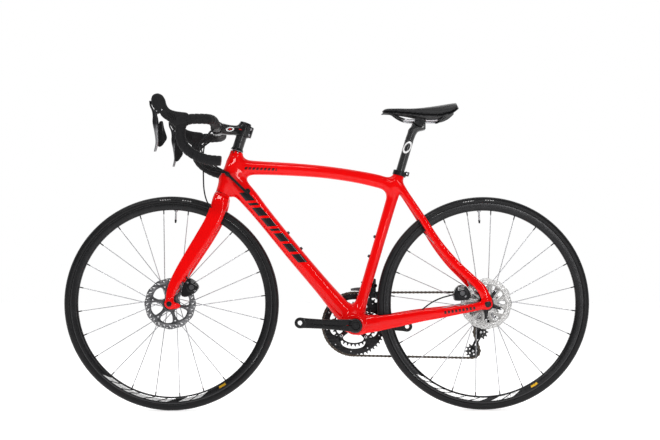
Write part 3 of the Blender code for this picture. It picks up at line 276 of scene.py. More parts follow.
def both(shade, *masks):
    result = masks[0]
    for mask in masks[1:]:
        result = shade.math("MULTIPLY", result, mask)
    return result


def either(shade, *masks):
    result = masks[0]
    for mask in masks[1:]:
        result = shade.math("MAXIMUM", result, mask)
    return result


def red_lacquer(name):
    """Glossy red over a faint flake and a slow drift of shade."""
    shade = Shade(
        name, (0.8, 0.0008, 0.0012), 0.24, Coat_Weight=0.45, Coat_Roughness=0.025,
        Specular_IOR_Level=0.02
    )
    shade.tint(shade.ramp(shade.noise(7.0, 2.0), 0.35, 0.75), (0.72, 0.0007, 0.0011), 0.55)
    shade.tint(shade.ramp(shade.noise(5200.0, 1.0), 0.62, 0.85), (0.86, 0.003, 0.003), 0.3)
    shade.bump(shade.noise(40.0, 2.0), 0.00001, 0.08)
    return shade


def tube_line(shade, way, start):
    """Distances along a tube's line and square to it, from its start, in the middle plane."""
    along = Vector(way).normalized()
    return shade.dot(along, start), shade.dot((-along.z, 0.0, along.x), start)


def frame_paint():
    """The lacquer with generic dark bars and dashes on the tubes, in place of any lettering."""
    shade = red_lacquer("red_lacquer")
    along, above = tube_line(shade, (0.4, 0.0, -0.472), (-0.765, 0.0, 0.3575))
    lean = shade.leaning(along, above, -0.75)
    sides = shade.off_centre()
    wide, narrow, gap = 0.034, 0.01, 0.009
    place, bars = 0.012, []
    for width in (wide, narrow, wide, wide, narrow, wide, wide, wide):
        bars.append(shade.between(lean, place, place + width))
        place += width + gap
    band = shade.between(above, -0.012, 0.012)
    down_graphic = both(shade, either(shade, *bars), band, shade.over(sides, 0.01))
    along, above = tube_line(shade, (0.1, 0.0, -0.004), (-0.765, 0.0, 0.4245))
    dashes = shade.over(shade.wave(shade.leaning(along, above, -0.5), 520.0), -0.35)
    top_graphic = both(
        shade, shade.between(along, 0.01, 0.112), shade.between(above, -0.0035, 0.0045), dashes,
        shade.over(sides, 0.008)
    )
    along, above = tube_line(shade, (0.256, 0.0, 0.04), (-0.155, 0.0, -0.03))
    dashes = shade.over(shade.wave(along, 560.0), -0.3)
    stay_graphic = both(
        shade, shade.between(along, 0.018, 0.118), shade.between(above, -0.005, 0.004), dashes,
        shade.over(sides, 0.05)
    )
    shade.tint(either(shade, down_graphic, top_graphic, stay_graphic), (0.016, 0.014, 0.015))
    return shade


def gloss_black(name="gloss_black", roughness=0.22):
    shade = Shade(
        name, (0.004, 0.004, 0.0048), roughness, Coat_Weight=0.22, Coat_Roughness=0.06,
        Specular_IOR_Level=0.14
    )
    noise = shade.noise(60.0, 4.0)
    shade.vary_roughness(noise, roughness, roughness + 0.14)
    shade.tint(shade.ramp(noise, 0.4, 0.8), (0.008, 0.008, 0.009), 0.5)
    shade.bump(shade.noise(900.0, 2.0), 0.00004, 0.3)
    return shade.material


def carbon(name, axis, place):
    """A fine twill under clear lacquer."""
    shade = Shade(
        name, (0.007, 0.007, 0.0075), 0.3, Coat_Weight=0.5, Coat_Roughness=0.08,
        Specular_IOR_Level=0.3
    )
    side = Vector(axis).cross(Y).normalized()
    u = shade.math("MULTIPLY", shade.dot(axis, place), 2200.0)
    v = shade.math(
        "MULTIPLY", shade.math("ADD", shade.dot(side, place), shade.dot(Y, place)), 2200.0
    )
    weave = shade.math(
        "MULTIPLY",
        shade.math("SINE", shade.math("ADD", u, v)),
        shade.math("SINE", shade.math("SUBTRACT", u, v))
    )
    shade.tint(shade.ramp(weave, -0.4, 0.6), (0.018, 0.018, 0.02), 0.9)
    shade.vary_roughness(weave, 0.22, 0.42, -1.0, 1.0)
    shade.bump(weave, 0.00003, 0.35)
    return shade


def rubber(name="tape_rubber", colour=(0.0065, 0.0065, 0.0075), grain=1500.0, depth=0.00012):
    shade = Shade(
        name, colour, 0.66, Sheen_Weight=0.03, Sheen_Roughness=0.5, Specular_IOR_Level=0.22
    )
    cells = shade.voronoi(grain)
    wear = shade.noise(35.0, 4.0)
    shade.tint(shade.ramp(wear, 0.45, 0.75), tuple(c * 2.3 for c in colour), 0.5)
    shade.tint(shade.ramp(cells, 0.0, 0.5), tuple(c * 0.5 for c in colour), 0.5)
    shade.vary_roughness(wear, 0.58, 0.82)
    shade.bump(cells, depth, 0.5)
    return shade


def anodised(name="black_anodised", colour=(0.02, 0.02, 0.021), roughness=0.3, metallic=0.85):
    shade = Shade(name, colour, roughness, metallic)
    noise = shade.noise(220.0, 3.0)
    shade.vary_roughness(noise, roughness - 0.05, roughness + 0.12)
    shade.tint(
        shade.ramp(shade.noise(40.0, 5.0), 0.5, 0.8),
        tuple(min(1.0, c * 2.0 + 0.01) for c in colour),
        0.35
    )
    shade.bump(noise, 0.00002, 0.3)
    return shade


def metal(name, colour, roughness):
    shade = Shade(name, colour, roughness, 1.0)
    streaks = shade.noise(300.0, 3.0)
    shade.vary_roughness(streaks, max(0.05, roughness - 0.08), roughness + 0.15)
    shade.tint(shade.ramp(shade.noise(25.0, 4.0), 0.45, 0.8), tuple(c * 0.72 for c in colour), 0.5)
    shade.bump(streaks, 0.00002, 0.3)
    return shade


# ------------------------------------------------------------------ meshes


def material_of(what):
    return what.material if isinstance(what, Shade) else what


def piece(name, mesh, material, body, replaces=(), angle=None):
    """A finished object that rides on a body; mesh is a bpy mesh or a list of them."""
    meshes = mesh if isinstance(mesh, (list, tuple)) else [mesh]
    work = bmesh.new()
    for part in meshes:
        work.from_mesh(part)
    joined = bpy.data.meshes.new(name)
    work.to_mesh(joined)
    work.free()
    obj = bpy.data.objects.new(name, joined)
    bpy.context.scene.collection.objects.link(obj)
    joined.materials.clear()
    joined.materials.append(material_of(material))
    joined.polygons.foreach_set("use_smooth", [True] * len(joined.polygons))
    if angle is not None:
        joined.set_sharp_from_angle(angle=math.radians(angle))
    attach(obj, body)
    if replaces:
        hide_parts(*replaces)
    return obj


def mesh_from(verts, faces):
    mesh = bpy.data.meshes.new("m")
    mesh.from_pydata([tuple(v) for v in verts], [], faces)
    return mesh


def basis(axis):
    """Two directions square to an axis, and the axis."""
    axis = Vector(axis).normalized()
    first = Vector((1, 0, 0)) if abs(axis.x) < 0.9 else Vector((0, 0, 1))
    u = (first - axis * first.dot(axis)).normalized()
    return u, axis.cross(u), axis


def lathe(loop, place, axis=Y, steps=64, closed=True):
    """A profile of (radius, distance along the axis), turned; closed joins its two ends."""
    u, v, w = basis(axis)
    place = Vector(place)
    verts, faces = [], []
    count = len(loop)
    for i in range(steps):
        angle = 2 * math.pi * i / steps
        out = u * math.cos(angle) + v * math.sin(angle)
        verts += [place + out * max(r, 1e-6) + w * h for r, h in loop]
    spans = count if closed else count - 1
    for i in range(steps):
        a, b = i * count, ((i + 1) % steps) * count
        for k in range(spans):
            n = (k + 1) % count
            faces.append((a + k, b + k, b + n, a + n))
    return outward(mesh_from(verts, faces))


def outward(mesh):
    work = bmesh.new()
    work.from_mesh(mesh)
    bmesh.ops.remove_doubles(work, verts=work.verts, dist=1e-6)
    bmesh.ops.recalc_face_normals(work, faces=work.faces)
    work.to_mesh(mesh)
    work.free()
    return mesh


def solid_turn(loop, place, axis=Y, steps=48):
    """A solid of revolution from an open profile that starts and ends on the axis."""
    return lathe(loop, place, axis, steps, closed=False)


def rod(a, b, radius, steps=16, end_radius=None, dome=0.0):
    a, b = Vector(a), Vector(b)
    length = (b - a).length
    end_radius = radius if end_radius is None else end_radius
    if dome:
        loop = [(0, 0)]
        loop += [
            (radius * math.sin(t), dome * (1 - math.cos(t)))
            for t in np.linspace(0.2, math.pi / 2, 5)
        ]
        loop += [
            (end_radius * math.cos(t), length - dome + dome * math.sin(t))
            for t in np.linspace(0, math.pi / 2, 6)
        ]
    else:
        loop = [(0, 0), (radius, 0), (end_radius, length), (0, length)]
    return lathe(loop, a, b - a, steps, closed=False)


def bolt(place, axis, radius, height, socket=0.5):
    """A cap head with a hexagon socket."""
    hole = radius * socket
    loop = [
        (radius * 0.96, 0.0), (radius, height * 0.2), (radius, height * 0.75),
        (radius * 0.86, height), (hole * 1.15, height)
    ]
    u, v, w = basis(axis)
    place = Vector(place)
    shell = lathe([(0, 0)] + loop[:-1] + [(hole * 1.16, height)], place, axis, 24, closed=False)
    ring, floor = [], []
    for i in range(24):
        angle = 2 * math.pi * i / 24
        out = u * math.cos(angle) + v * math.sin(angle)
        corner = (angle + math.pi / 6) % (math.pi / 3) - math.pi / 6
        flat = hole / math.cos(corner)
        ring.append(place + out * hole * 1.16 + w * height)
        floor.append(place + out * min(flat, hole * 1.15) + w * height * 0.98)
    deep = [p - w * height * 0.6 for p in floor]
    verts = ring + floor + deep + [place + w * height * 0.38]
    faces = []
    for i in range(24):
        j = (i + 1) % 24
        faces.append((i, j, 24 + j, 24 + i))
        faces.append((24 + i, 24 + j, 48 + j, 48 + i))
        faces.append((48 + i, 48 + j, 72))
    both_parts = bmesh.new()
    both_parts.from_mesh(shell)
    both_parts.from_mesh(mesh_from(verts, faces))
    mesh = bpy.data.meshes.new("bolt")
    both_parts.to_mesh(mesh)
    both_parts.free()
    return outward(mesh)


def bolts_piece(name, bolts, body):
    """Bolts and other small steel parts as one piece with crisp edges."""
    return piece(name, bolts, BOLT_STEEL, body, angle=40)


def smooth_path(points, count):
    """A Catmull-Rom curve through points, as evenly indexed samples."""
    points = [np.array(p, float) for p in points]
    ends = [2 * points[0] - points[1], *points, 2 * points[-1] - points[-2]]
    chord = np.cumsum(
        [0.0] + [max(1e-9, np.linalg.norm(b - a)) ** 0.5 for a, b in zip(ends, ends[1:])]
    )
    found = []
    for s in np.linspace(chord[1], chord[-2], count):
        i = int(np.clip(np.searchsorted(chord, s) - 1, 1, len(ends) - 3))
        t0, t1, t2, t3 = chord[i - 1 : i + 3]
        p0, p1, p2, p3 = ends[i - 1 : i + 3]
        a1 = p0 * (t1 - s) / (t1 - t0) + p1 * (s - t0) / (t1 - t0)
        a2 = p1 * (t2 - s) / (t2 - t1) + p2 * (s - t1) / (t2 - t1)
        a3 = p2 * (t3 - s) / (t3 - t2) + p3 * (s - t2) / (t3 - t2)
        b1 = a1 * (t2 - s) / (t2 - t0) + a2 * (s - t0) / (t2 - t0)
        b2 = a2 * (t3 - s) / (t3 - t1) + a3 * (s - t1) / (t3 - t1)
        found.append(b1 * (t2 - s) / (t2 - t1) + b2 * (s - t1) / (t2 - t1))
    return found


def even(points, step):
    """The same path with points a fixed distance apart."""
    points = np.array(points, float)
    run = np.concatenate([[0], np.cumsum(np.linalg.norm(np.diff(points, axis=0), axis=1))])
    count = max(2, int(run[-1] / step) + 1)
    at = np.linspace(0, run[-1], count)
    return np.stack([np.interp(at, run, points[:, k]) for k in range(points.shape[1])], axis=1), at


def frames_along(points, hint=(0, 1, 0)):
    points = np.array(points, float)
    along = np.gradient(points, axis=0)
    along /= np.linalg.norm(along, axis=1)[:, None]
    side = np.array(hint, float)
    if abs(side @ along[0]) > 0.9:
        side = np.array((1.0, 0.0, 0.0))
    sides = []
    for direction in along:
        side = side - direction * (side @ direction)
        side = side / np.linalg.norm(side)
        sides.append(side)
    sides = np.array(sides)
    return points, sides, np.cross(along, sides), along


def sweep(points, radius, sides=12, hint=(0, 1, 0)):
    """A tube along points. radius is a number or a function of (index, angle) -> radius."""
    points, u, v, _ = frames_along(points, hint)
    angles = np.linspace(0, 2 * np.pi, sides, endpoint=False)
    rings = []
    for i, (p, a, b) in enumerate(zip(points, u, v)):
        r = np.array([radius(i, t) for t in angles]) if callable(radius) else np.full(sides, radius)
        rings.append(
            p + np.cos(angles)[:, None] * r[:, None] * a + np.sin(angles)[:, None] * r[:, None] * b
        )
    verts = np.concatenate(rings)
    faces = []
    for i in range(len(rings) - 1):
        for k in range(sides):
            n = (k + 1) % sides
            faces.append((i * sides + k, i * sides + n, (i + 1) * sides + n, (i + 1) * sides + k))
    faces.append(tuple(range(sides))[::-1])
    faces.append(tuple((len(rings) - 1) * sides + k for k in range(sides)))
    return outward(mesh_from(verts, faces))


def plate(outlines, y_low, y_high, bevel=0.0003):
    """A flat plate across Y with rounded edges.

    The outlines are (x, z) loops, and a loop inside another is a hole.
    """
    curve = bpy.data.curves.new("plate", "CURVE")
    curve.dimensions = "2D"
    curve.fill_mode = "BOTH"
    curve.extrude = max((y_high - y_low) / 2 - bevel, 1e-5)
    curve.bevel_depth = bevel
    curve.bevel_resolution = 1
    curve.offset = -bevel
    for outline in outlines:
        spline = curve.splines.new("POLY")
        spline.points.add(len(outline) - 1)
        for point, (x, z) in zip(spline.points, outline):
            point.co = (x, z, 0.0, 1.0)
        spline.use_cyclic_u = True
    obj = bpy.data.objects.new("plate", curve)
    bpy.context.scene.collection.objects.link(obj)
    bpy.context.view_layer.update()
    mesh = bpy.data.meshes.new_from_object(obj.evaluated_get(bpy.context.evaluated_depsgraph_get()))
    bpy.data.objects.remove(obj)
    bpy.data.curves.remove(curve)
    mesh.transform(
        Matrix.Translation((0, (y_low + y_high) / 2, 0)) @ Matrix.Rotation(math.pi / 2, 4, "X")
    )
    mesh.materials.clear()
    return outward(mesh)


def circle(place, radius, count):
    return [on_circle(place, radius, 2 * math.pi * i / count) for i in range(count)]


def on_circle(place, radius, angle):
    return place[0] + radius * math.cos(angle), place[1] + radius * math.sin(angle)


def round_axle(place, radius, angle, y=0.0):
    """A point on a circle in the bicycle's side view, as a Vector at a side distance."""
    x, z = on_circle((place.x, place.z), radius, angle)
    return Vector((x, y, z))


def rounded(outline, steps=4, cut=0.3):
    """A loop with its corners rounded off."""
    points = [np.array(p, float) for p in outline]
    found = []
    for i, p in enumerate(points):
        before, after = points[i - 1], points[(i + 1) % len(points)]
        a = p + (before - p) * cut
        b = p + (after - p) * cut
        for t in np.linspace(0, 1, steps):
            found.append(tuple((1 - t) ** 2 * a + 2 * t * (1 - t) * p + t * t * b))
    return found


# ------------------------------------------------------------------ blended solids, from fields


def smin(a, b, k):
    """The smaller of two fields, blended over a width k."""
    h = np.maximum(k - np.abs(a - b), 0.0) / k
    return np.minimum(a, b) - h * h * k * 0.25


def smax(a, b, k):
    return -smin(-a, -b, k)


FAR = 1.0  # the distance given outside a tube's reach
CHUNK = 400000


def f_beam(stations, power=2.4):
    """A tube through stations (x, y, z, depth, width), cut square to the line end to end."""
    rows = np.array(smooth_path([np.array(s, float) for s in stations], 90))
    rows[:, 3:] = np.maximum(rows[:, 3:], 0.002)
    along = rows[-1, :3] - rows[0, :3]
    length = np.linalg.norm(along)
    along /= length
    t = (rows[:, :3] - rows[0, :3]) @ along
    order = np.argsort(t)
    t, rows = t[order], rows[order]
    beside = np.array((0.0, 1.0, 0.0)) - along * along[1]
    if np.linalg.norm(beside) < 0.2:
        beside = np.array((1.0, 0.0, 0.0)) - along * along[0]
    beside /= np.linalg.norm(beside)
    above = np.cross(along, beside)
    reach = rows[:, 3:].max() * 0.6 + 0.03
    low, high = rows[:, :3].min(0) - reach, rows[:, :3].max(0) + reach
    origin = rows[0, :3] - along * t[0]

    def field(p):
        out = np.full(len(p), FAR)
        near = ((p > low) & (p < high)).all(1)
        if not near.any():
            return out
        q = p[near]
        s = (q - origin) @ along
        inside = np.clip(s, t[0], t[-1])
        cx, cy, cz, depth, width = (np.interp(inside, t, rows[:, k]) for k in range(5))
        d = q - np.stack([cx, cy, cz], 1)
        a, b = np.abs(d @ beside), np.abs(d @ above)
        r = np.sqrt(a * a + b * b) + 1e-9
        g = ((a / (width / 2)) ** power + (b / (depth / 2)) ** power) ** (1 / power) + 1e-9
        side = r * (1 - 1 / g)
        side = np.where(g < 1, np.maximum(side, -np.minimum(width, depth) / 2 * (1 - g)), side)
        end = np.abs(s - inside)
        out[near] = np.where(end > 0, np.sqrt(np.maximum(side, 0) ** 2 + end**2), side)
        return out

    return field


def f_rod(a, b, radius, edge=0.0015):
    a, b = np.array(a, float), np.array(b, float)
    along = b - a
    length = np.linalg.norm(along)
    along /= length

    def field(p):
        d = p - a
        s = d @ along
        r = np.linalg.norm(d - s[:, None] * along, axis=1)
        x, y = r - radius + edge, np.abs(s - length / 2) - length / 2 + edge
        return np.minimum(np.maximum(x, y), 0) + np.hypot(np.maximum(x, 0), np.maximum(y, 0)) - edge

    return field


def f_pin(place, low, high, radius, edge=0.0015):
    """A rod across the bicycle, at a Vector or an (x, z) place, between two side distances."""
    x, z = (place.x, place.z) if isinstance(place, Vector) else place
    return f_rod((x, low, z), (x, high, z), radius, edge)


def f_ball(a, b, radius, end_radius=None):
    """A round-ended cone between two points."""
    a, b = np.array(a, float), np.array(b, float)
    along = b - a
    square = along @ along + 1e-12
    end_radius = radius if end_radius is None else end_radius

    def field(p):
        s = np.clip(((p - a) @ along) / square, 0, 1)
        return np.linalg.norm(p - a - s[:, None] * along, axis=1) - (
            radius + (end_radius - radius) * s
        )

    return field


def f_box(place, half, edge=0.002, turn=0.0):
    """A box with round edges, turned about Y through its centre, in radians."""
    matrix = np.array(Matrix.Rotation(turn, 3, "Y")).T
    place, half = np.array(place, float), np.array(half, float) - edge

    def field(p):
        q = np.abs((p - place) @ matrix.T) - half
        return np.linalg.norm(np.maximum(q, 0), axis=1) + np.minimum(q.max(1), 0) - edge

    return field


def f_plate(outline, y_low, y_high, edge=0.001):
    """An (x, z) outline between two widths, with round edges."""
    points = np.array(outline, float)
    nexts = np.roll(points, -1, axis=0)

    def field(p):
        q = p[:, [0, 2]]
        best = np.full(len(q), FAR)
        inside = np.zeros(len(q), bool)
        for a, b in zip(points, nexts):
            e = b - a
            w = q - a
            t = np.clip((w @ e) / (e @ e), 0, 1)
            best = np.minimum(best, np.linalg.norm(w - t[:, None] * e, axis=1))
            crosses = (a[1] <= q[:, 1]) != (b[1] <= q[:, 1])
            with np.errstate(divide="ignore", invalid="ignore"):
                x = a[0] + (q[:, 1] - a[1]) / (b[1] - a[1]) * e[0]
            inside ^= crosses & (q[:, 0] < x)
        flat = np.where(inside, -best, best) + edge
        side = np.abs(p[:, 1] - (y_low + y_high) / 2) - (y_high - y_low) / 2 + edge
        return np.minimum(np.maximum(flat, side), 0) + np.hypot(
            np.maximum(flat, 0), np.maximum(side, 0)
        ) - edge

    return field


def f_join(k, *fields):
    def field(p):
        out = fields[0](p)
        for other in fields[1:]:
            out = smin(out, other(p), k)
        return out

    return field


def f_cut(k, base, *tools):
    def field(p):
        out = base(p)
        for tool in tools:
            out = smax(out, -tool(p), k)
        return out

    return field


def in_chunks(field, points):
    return np.concatenate([field(points[i : i + CHUNK]) for i in range(0, len(points), CHUNK)])


def grown(field, low, high, cell):
    """The field's zero surface as a mesh, with the field's own normals.

    Each crossed cell gets one vertex, which is then pulled onto the surface.
    """
    low, high = np.array(low, float), np.array(high, float)
    block = 8
    coarse = cell * block
    shape = np.maximum(1, np.ceil((high - low) / coarse).astype(int))
    grid = np.stack(np.meshgrid(*[np.arange(n) for n in shape], indexing="ij"), -1).reshape(-1, 3)
    value = in_chunks(field, low + (grid + 0.5) * coarse)
    near = grid[np.abs(value) < coarse * 1.15]
    size = shape * block + 1
    offsets = np.stack(np.meshgrid(*[np.arange(block + 1)] * 3, indexing="ij"), -1).reshape(-1, 3)
    values = np.full(size, FAR, np.float32)
    known = np.zeros(size, bool)
    for start in range(0, len(near), 400):
        at = (near[start : start + 400, None, :] * block + offsets).reshape(-1, 3)
        found = in_chunks(field, low + at * cell)
        values[at[:, 0], at[:, 1], at[:, 2]] = found
        known[at[:, 0], at[:, 1], at[:, 2]] = True
    inside = values < 0
    corners = [(i, j, k) for i in (0, 1) for j in (0, 1) for k in (0, 1)]

    def shifted(array, c):
        return array[
            c[0] : array.shape[0] - 1 + c[0], c[1] : array.shape[1] - 1 + c[1],
            c[2] : array.shape[2] - 1 + c[2]
        ]

    count = sum(shifted(inside, c).astype(np.int8) for c in corners)
    ready = np.logical_and.reduce([shifted(known, c) for c in corners])
    active = (count > 0) & (count < 8) & ready
    cells = np.argwhere(active)
    number = np.full(active.shape, -1, np.int64)
    number[active] = np.arange(len(cells))
    total, weight = np.zeros((len(cells), 3)), np.zeros(len(cells))
    for a in corners:
        for axis in range(3):
            if a[axis]:
                continue
            b = tuple(1 if n == axis else a[n] for n in range(3))
            va = values[tuple((cells + a).T)].astype(float)
            vb = values[tuple((cells + b).T)].astype(float)
            crossed = (va < 0) != (vb < 0)
            share = np.where(crossed, va / np.where(crossed, va - vb, 1.0), 0.0)
            point = cells + np.array(a) + share[:, None] * (np.array(b) - np.array(a))
            total += np.where(crossed[:, None], point, 0.0)
            weight += crossed
    verts = low + total / weight[:, None] * cell
    faces = []
    for axis in range(3):
        one, two = [n for n in range(3) if n != axis]
        here = np.argwhere(np.diff(inside.astype(np.int8), axis=axis) != 0)
        here = here[(here[:, one] > 0) & (here[:, two] > 0)]
        step_one, step_two = np.eye(3, dtype=int)[one], np.eye(3, dtype=int)[two]
        ids = []
        for shift in (0 * step_one, step_one, step_one + step_two, step_two):
            at = here - shift
            good = (at < np.array(number.shape)).all(1) & (at >= 0).all(1)
            found = np.full(len(at), -1, np.int64)
            found[good] = number[tuple(at[good].T)]
            ids.append(found)
        quad = np.stack(ids, 1)
        quad = quad[(quad >= 0).all(1)]
        keep = here[(np.stack(ids, 1) >= 0).all(1)]
        outgoing = inside[tuple(keep.T)]
        flip = outgoing if axis != 1 else ~outgoing
        quad[flip] = quad[flip][:, ::-1]
        faces.append(quad)
    faces = np.concatenate(faces)[:, ::-1]
    tiny = cell * 0.35

    def slope(p):
        return np.stack(
            [
                (in_chunks(field, p + e) - in_chunks(field, p - e)) / (2 * tiny)
                for e in np.eye(3) * tiny
            ],
            1
        )

    for _ in range(2):
        g = slope(verts)
        square = np.maximum((g * g).sum(1), 0.05)
        step = (in_chunks(field, verts) / square)[:, None] * g
        limit = np.linalg.norm(step, axis=1)
        verts = verts - step * np.minimum(1.0, cell * 0.6 / np.maximum(limit, 1e-9))[:, None]
    normals = slope(verts)
    normals /= np.linalg.norm(normals, axis=1)[:, None] + 1e-9
    used = np.unique(faces)
    remap = np.full(len(verts), -1)
    remap[used] = np.arange(len(used))
    return verts[used], remap[faces], normals[used]


def field_piece(name, field, low, high, cell, material, body, replaces=()):
    verts, faces, normals = grown(field, low, high, cell)
    mesh = bpy.data.meshes.new(name)
    mesh.vertices.add(len(verts))
    mesh.vertices.foreach_set("co", verts.astype(np.float32).ravel())
    mesh.loops.add(len(faces) * 4)
    mesh.loops.foreach_set("vertex_index", faces.astype(np.int32).ravel())
    mesh.polygons.add(len(faces))
    mesh.polygons.foreach_set("loop_start", np.arange(0, len(faces) * 4, 4, dtype=np.int32))
    mesh.update(calc_edges=True)
    mesh.validate()
    mesh.polygons.foreach_set("use_smooth", [True] * len(mesh.polygons))
    mesh.normals_split_custom_set_from_vertices([tuple(n) for n in normals])
    mesh.materials.append(material_of(material))
    obj = bpy.data.objects.new(name, mesh)
    bpy.context.scene.collection.objects.link(obj)
    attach(obj, body)
    if replaces:
        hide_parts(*replaces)
    return obj


def small_field(name, field, node, cell, material, body, grow=0.0015):
    """A field piece in its CAD node's box, grown a little on every side."""
    low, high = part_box(node)
    margin = Vector((grow, grow, grow))
    return field_piece(
        name, field, low - margin, high + margin, cell, material, body, (node,)
    )


# ------------------------------------------------------------------ finishes

RED = frame_paint()
RED_FORK = red_lacquer("red_lacquer_fork")
BLACK = gloss_black()
SATIN_BLACK = gloss_black("satin_black", 0.38)
RUBBER = rubber()
ALLOY_BLACK = anodised()
SILVER = metal("silver", (0.7, 0.7, 0.72), 0.26)
BRIGHT = metal("bright_steel", (0.78, 0.78, 0.8), 0.2)
SPOKE_STEEL = metal("spoke_steel", (0.42, 0.42, 0.44), 0.32)
BOLT_STEEL = metal("bolt_steel", (0.55, 0.55, 0.57), 0.3)
GOLD = metal("amber_anodised", (0.72, 0.27, 0.05), 0.35)
DARK_STEEL = metal("dark_steel", (0.1, 0.1, 0.105), 0.38)
CHAIN_STEEL = metal("chain_steel", (0.085, 0.072, 0.06), 0.42)


# ------------------------------------------------------------------ frame and fork

DOWN = [
    (-0.812, 0, 0.41, 0.046, 0.036), (-0.785, 0, 0.38, 0.06, 0.043),
    (-0.745, 0, 0.337, 0.058, 0.047), (-0.7, 0, 0.282, 0.052, 0.047),
    (-0.6, 0, 0.159, 0.051, 0.049), (-0.5, 0, 0.041, 0.053, 0.055), (-0.45, 0, -0.018, 0.06, 0.06),
    (-0.412, 0, -0.062, 0.058, 0.064)
]
TOP = [
    (-0.8, 0, 0.424, 0.036, 0.032), (-0.765, 0, 0.428, 0.05, 0.037),
    (-0.735, 0, 0.428, 0.046, 0.039), (-0.7, 0, 0.427, 0.043, 0.04),
    (-0.6, 0, 0.4225, 0.0405, 0.041), (-0.5, 0, 0.4145, 0.0385, 0.04), (-0.4, 0, 0.4, 0.039, 0.037),
    (-0.33, 0, 0.385, 0.0415, 0.034), (-0.29, 0, 0.372, 0.04, 0.029)
]
CHAIN_STAY = [
    (-0.4, 0.016, -0.069, 0.056, 0.024), (-0.352, 0.0265, -0.064, 0.051, 0.018),
    (-0.301, 0.0355, -0.056, 0.044, 0.0162), (-0.25, 0.0445, -0.0465, 0.0405, 0.0158),
    (-0.199, 0.0525, -0.037, 0.036, 0.0148), (-0.149, 0.06, -0.0295, 0.032, 0.0138),
    (-0.098, 0.0668, -0.0215, 0.0265, 0.0122), (-0.04, 0.0735, -0.01, 0.0245, 0.0094),
    (0.0, 0.0751, -0.001, 0.0255, 0.0068)
]
SEAT_STAY = [
    (-0.281, 0.008, 0.386, 0.028, 0.016), (-0.264, 0.0145, 0.367, 0.026, 0.019),
    (-0.25, 0.0195, 0.346, 0.023, 0.018), (-0.2245, 0.025, 0.308, 0.0222, 0.0162),
    (-0.1975, 0.0305, 0.267, 0.0222, 0.0152), (-0.146, 0.0425, 0.186, 0.0236, 0.0142),
    (-0.097, 0.054, 0.126, 0.0255, 0.0128), (-0.047, 0.0655, 0.077, 0.0262, 0.0113),
    (-0.018, 0.074, 0.046, 0.029, 0.0085), (0.001, 0.0751, 0.006, 0.032, 0.0068)
]


def folded(field):
    """The field mirrored to both sides."""

    def both_halves(p):
        q = p.copy()
        q[:, 1] = np.abs(q[:, 1])
        return field(q)

    return both_halves


def build_frame():
    head = f_beam(
        [
            (*on_head(0.364), 0.0465, 0.0465), (*on_head(0.382), 0.0462, 0.0462),
            (*on_head(0.405), 0.041, 0.044), (*on_head(0.44), 0.0362, 0.0405),
            (*on_head(0.48), 0.0372, 0.0378), (*on_head(0.5028), 0.0378, 0.0378)
        ],
        2.0
    )
    seat = f_beam(
        [
            (*on_seat(0.0), 0.06, 0.056), (*on_seat(0.04), 0.046, 0.045),
            (*on_seat(0.08), 0.036, 0.037), (*on_seat(0.2), 0.034, 0.0345),
            (*on_seat(0.3), 0.034, 0.0345), (*on_seat(0.4), 0.0355, 0.0345),
            (*on_seat(0.45), 0.0375, 0.0345), (*on_seat(0.48), 0.034, 0.0335),
            (*on_seat(0.4998), 0.0332, 0.0332)
        ],
        2.1
    )
    stay_c = folded(f_beam(CHAIN_STAY, 2.6))
    stay_s = folded(f_beam(SEAT_STAY, 2.5))
    tubes = f_join(0.034, f_join(0.03, head, f_beam(DOWN, 2.5)), f_beam(TOP, 2.5))
    spine = f_join(0.03, tubes, seat)
    shell = f_pin(BB, -0.0365, 0.0365, 0.0302, 0.003)
    spine = f_join(0.026, spine, shell)
    rear = f_join(0.01, stay_c, stay_s, folded(f_pin((0, 0), 0.0713, 0.0785, 0.016, 0.0012)))
    body = f_join(0.016, spine, rear)
    yoke = f_box((-0.352, 0, -0.06), (0.018, 0.03, 0.016), 0.01)
    body = f_join(0.018, body, yoke)
    cuts = [
        f_rod(on_head(0.35), on_head(0.3745), 0.0212, edge=0.0003),
        f_rod(on_head(0.4935), on_head(0.52), 0.0174, edge=0.0003),
        f_rod(on_head(0.35), on_head(0.52), 0.0158, edge=0.0003),
        f_rod(on_seat(0.44), on_seat(0.52), 0.014, edge=0.0003),
        f_pin(BB, -0.05, 0.05, 0.0212, 0.0003),
        f_pin((0, 0), -0.09, 0.09, 0.0064, 0.0003),
        f_pin(REAR, -0.0135, 0.0135, TYRE_R + 0.004, 0.004)
    ]
    body = f_cut(0.0012, body, *cuts)
    small_field("frame_shell", body, "frame", 0.0023, RED, "frame", 0.004)


def build_bottle_bosses():
    bosses, bolts = [], []
    for name, mount in ((m["name"], m) for m in frame["record"]["mounts"]):
        if not name.startswith("bottle"):
            continue
        place, away = Vector(mount["pos_m"]), Vector(mount["axis"])
        bosses.append(rod(place - away * 0.006, place - away * 0.0002, 0.0052, 24))
        bolts.append(bolt(place - away * 0.0002, away, 0.0042, 0.0034))
    piece("bottle_boss_rims", bosses, ALLOY_BLACK, "frame", angle=35)
    piece("bottle_bolts", bolts, DARK_STEEL, "frame", angle=35)


def build_plugs():
    """Two small plugs low on the seat tube's front, and the port where the cables go in."""
    small = []
    for distance in (0.135, 0.1):
        forward = Vector((-SEAT_AXIS.z, 0, SEAT_AXIS.x))
        foot = on_seat(distance) + forward * 0.0165
        small.append(rod(foot, foot + forward * 0.003, 0.0024, 16, dome=0.0012))
    piece("seat_tube_plugs", small, DARK_STEEL, "frame")
    place = Vector((-0.745, -0.0205, 0.352))
    piece(
        "cable_port",
        solid_turn(
            [(0, -0.002), (0.0085, -0.002), (0.0085, 0.003), (0.007, 0.0045), (0, 0.0048)],
            place,
            Vector((0.3, -1, 0.25))
        ),
        RUBBER,
        "frame"
    )


